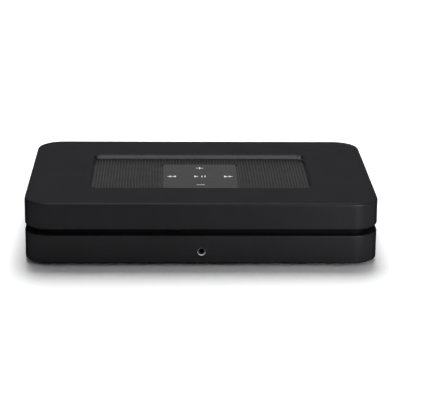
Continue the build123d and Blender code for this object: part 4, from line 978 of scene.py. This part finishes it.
# %% [markdown]
# ## The floor
#
# The photograph's ground is pure white, with a soft shadow that starts at the object's foot. The white should
# not come from more light, which would also bleach the object. The floor is a pale grey for the light that it
# gives back, and for rays from the camera, from reflections and through windows its colour is lifted to
# white. A lifted colour still multiplies the light that falls on it, so the shadow stays.

# %% The floor
GROUND_GREY, LIFTED_GREY = 0.5, 1.38


def floor_finish():
    """A pale diffuse floor whose colour is lifted for camera, glossy and transmitted rays."""
    finish = bpy.data.materials.new("white_ground")
    finish.use_nodes = True
    tree = finish.node_tree
    tree.nodes.clear()
    output = tree.nodes.new("ShaderNodeOutputMaterial")
    path = tree.nodes.new("ShaderNodeLightPath")
    seen = path.outputs["Is Camera Ray"]
    for kind in ("Is Glossy Ray", "Is Transmission Ray"):
        either = tree.nodes.new("ShaderNodeMath")
        either.operation = "MAXIMUM"
        tree.links.new(seen, either.inputs[0])
        tree.links.new(path.outputs[kind], either.inputs[1])
        seen = either.outputs["Value"]
    choose = tree.nodes.new("ShaderNodeMixShader")
    tree.links.new(seen, choose.inputs["Fac"])
    for socket, grey in ((1, GROUND_GREY), (2, LIFTED_GREY)):
        diffuse = tree.nodes.new("ShaderNodeBsdfDiffuse")
        diffuse.inputs["Color"].default_value = (grey, grey, grey, 1)
        tree.links.new(diffuse.outputs["BSDF"], choose.inputs[socket])
    tree.links.new(choose.outputs["Shader"], output.inputs["Surface"])
    return finish


REACH, SUNK = 4, -5e-5
ground = bpy.data.meshes.new("ground")
ground_corners = [(x * REACH, y * REACH, SUNK) for x, y in ((-1, -1), (1, -1), (1, 1), (-1, 1))]
ground.from_pydata(ground_corners, [], [(0, 1, 2, 3)])
ground.materials.append(floor_finish())
floor = bpy.data.objects.new("floor", ground)
bpy.context.scene.collection.objects.link(floor)

# %% [markdown]
# ## The light
#
# The shadow falls forward and the front is darker than the top, so the main light is a wide soft box above and
# a little behind the object. A small panel near the right front corner makes the right side lighter than the
# left. The other panels stand for the pale cards of a studio, which a satin surface shows as soft reflections:
# they are hidden from diffuse rays, so they draw lines without bleaching the black or the floor. The low strip
# behind the camera draws the bright rear wall of the tray, the high strip the edges of the casing and the
# mouth of the headphone ring, the glow behind the object the sheen of the ribs and the touch plate, the strips
# at the sides the corners of the tray, and the reflector close to the floor the rise of the front from left
# to right. Lamps could be set by power, but the radiance of a panel is what a glossy surface shows, so the
# power is worked out from it: radiance times pi times area.

# %% Place the lamps
def soft_panel(name, place, width, height, radiance, target=(0, 0, 0.02), reflected_only=True):
    """A rectangular lamp that looks at the target, with its power from its radiance."""
    lamp = bpy.data.lights.new(name, "AREA")
    lamp.shape = "RECTANGLE"
    lamp.size, lamp.size_y = width, height
    lamp.energy = radiance * math.pi * width * height
    holder = bpy.data.objects.new(name, lamp)
    holder.location = place
    holder.rotation_euler = (Vector(place) - Vector(target)).to_track_quat("Z", "Y").to_euler()
    holder.visible_diffuse = not reflected_only
    bpy.context.scene.collection.objects.link(holder)
    print(name, "gives", round(lamp.energy, 2), "W")


soft_panel("soft_box", (0.0, 0.8, 1.386), 0.75, 1.2, 8.6, reflected_only=False)
soft_panel("side_panel", (0.36, -0.36, 0.12), 0.24, 0.16, 4.6, reflected_only=False)
soft_panel("low_strip", (0.0, -2.0, 0.86), 6.0, 0.6, 1.9)
soft_panel("high_strip", (0.0, -0.62, 1.3), 1.6, 0.5, 3.5)
soft_panel("backdrop_glow", (0.0, 3.0, 0.95), 5.0, 1.1, 0.6)
soft_panel("left_strip", (-2.0, -0.7, 0.75), 1.8, 0.6, 2.2)
soft_panel("right_strip", (2.0, -0.7, 0.75), 1.8, 0.6, 1.0)
soft_panel("front_reflector", (0.3, -0.5, 0.075), 0.32, 0.14, 21.0, (0.1, -0.073, 0.03))

# %% The world, darker towards the horizon
world = bpy.data.worlds.new("studio")
world.use_nodes = True
bpy.context.scene.world = world
tree = world.node_tree
direction = tree.nodes.new("ShaderNodeTexCoord").outputs["Generated"]
split_up = tree.nodes.new("ShaderNodeSeparateXYZ")
tree.links.new(direction, split_up.inputs["Vector"])
ramp = tree.nodes.new("ShaderNodeValToRGB")
ramp.color_ramp.elements[0].position = 0.1
ramp.color_ramp.elements[0].color = (0.03, 0.03, 0.032, 1)
ramp.color_ramp.elements[1].position = 0.9
ramp.color_ramp.elements[1].color = (0.2, 0.2, 0.205, 1)
tree.links.new(split_up.outputs["Z"], ramp.inputs["Fac"])
tree.links.new(ramp.outputs["Color"], tree.nodes["Background"].inputs["Color"])
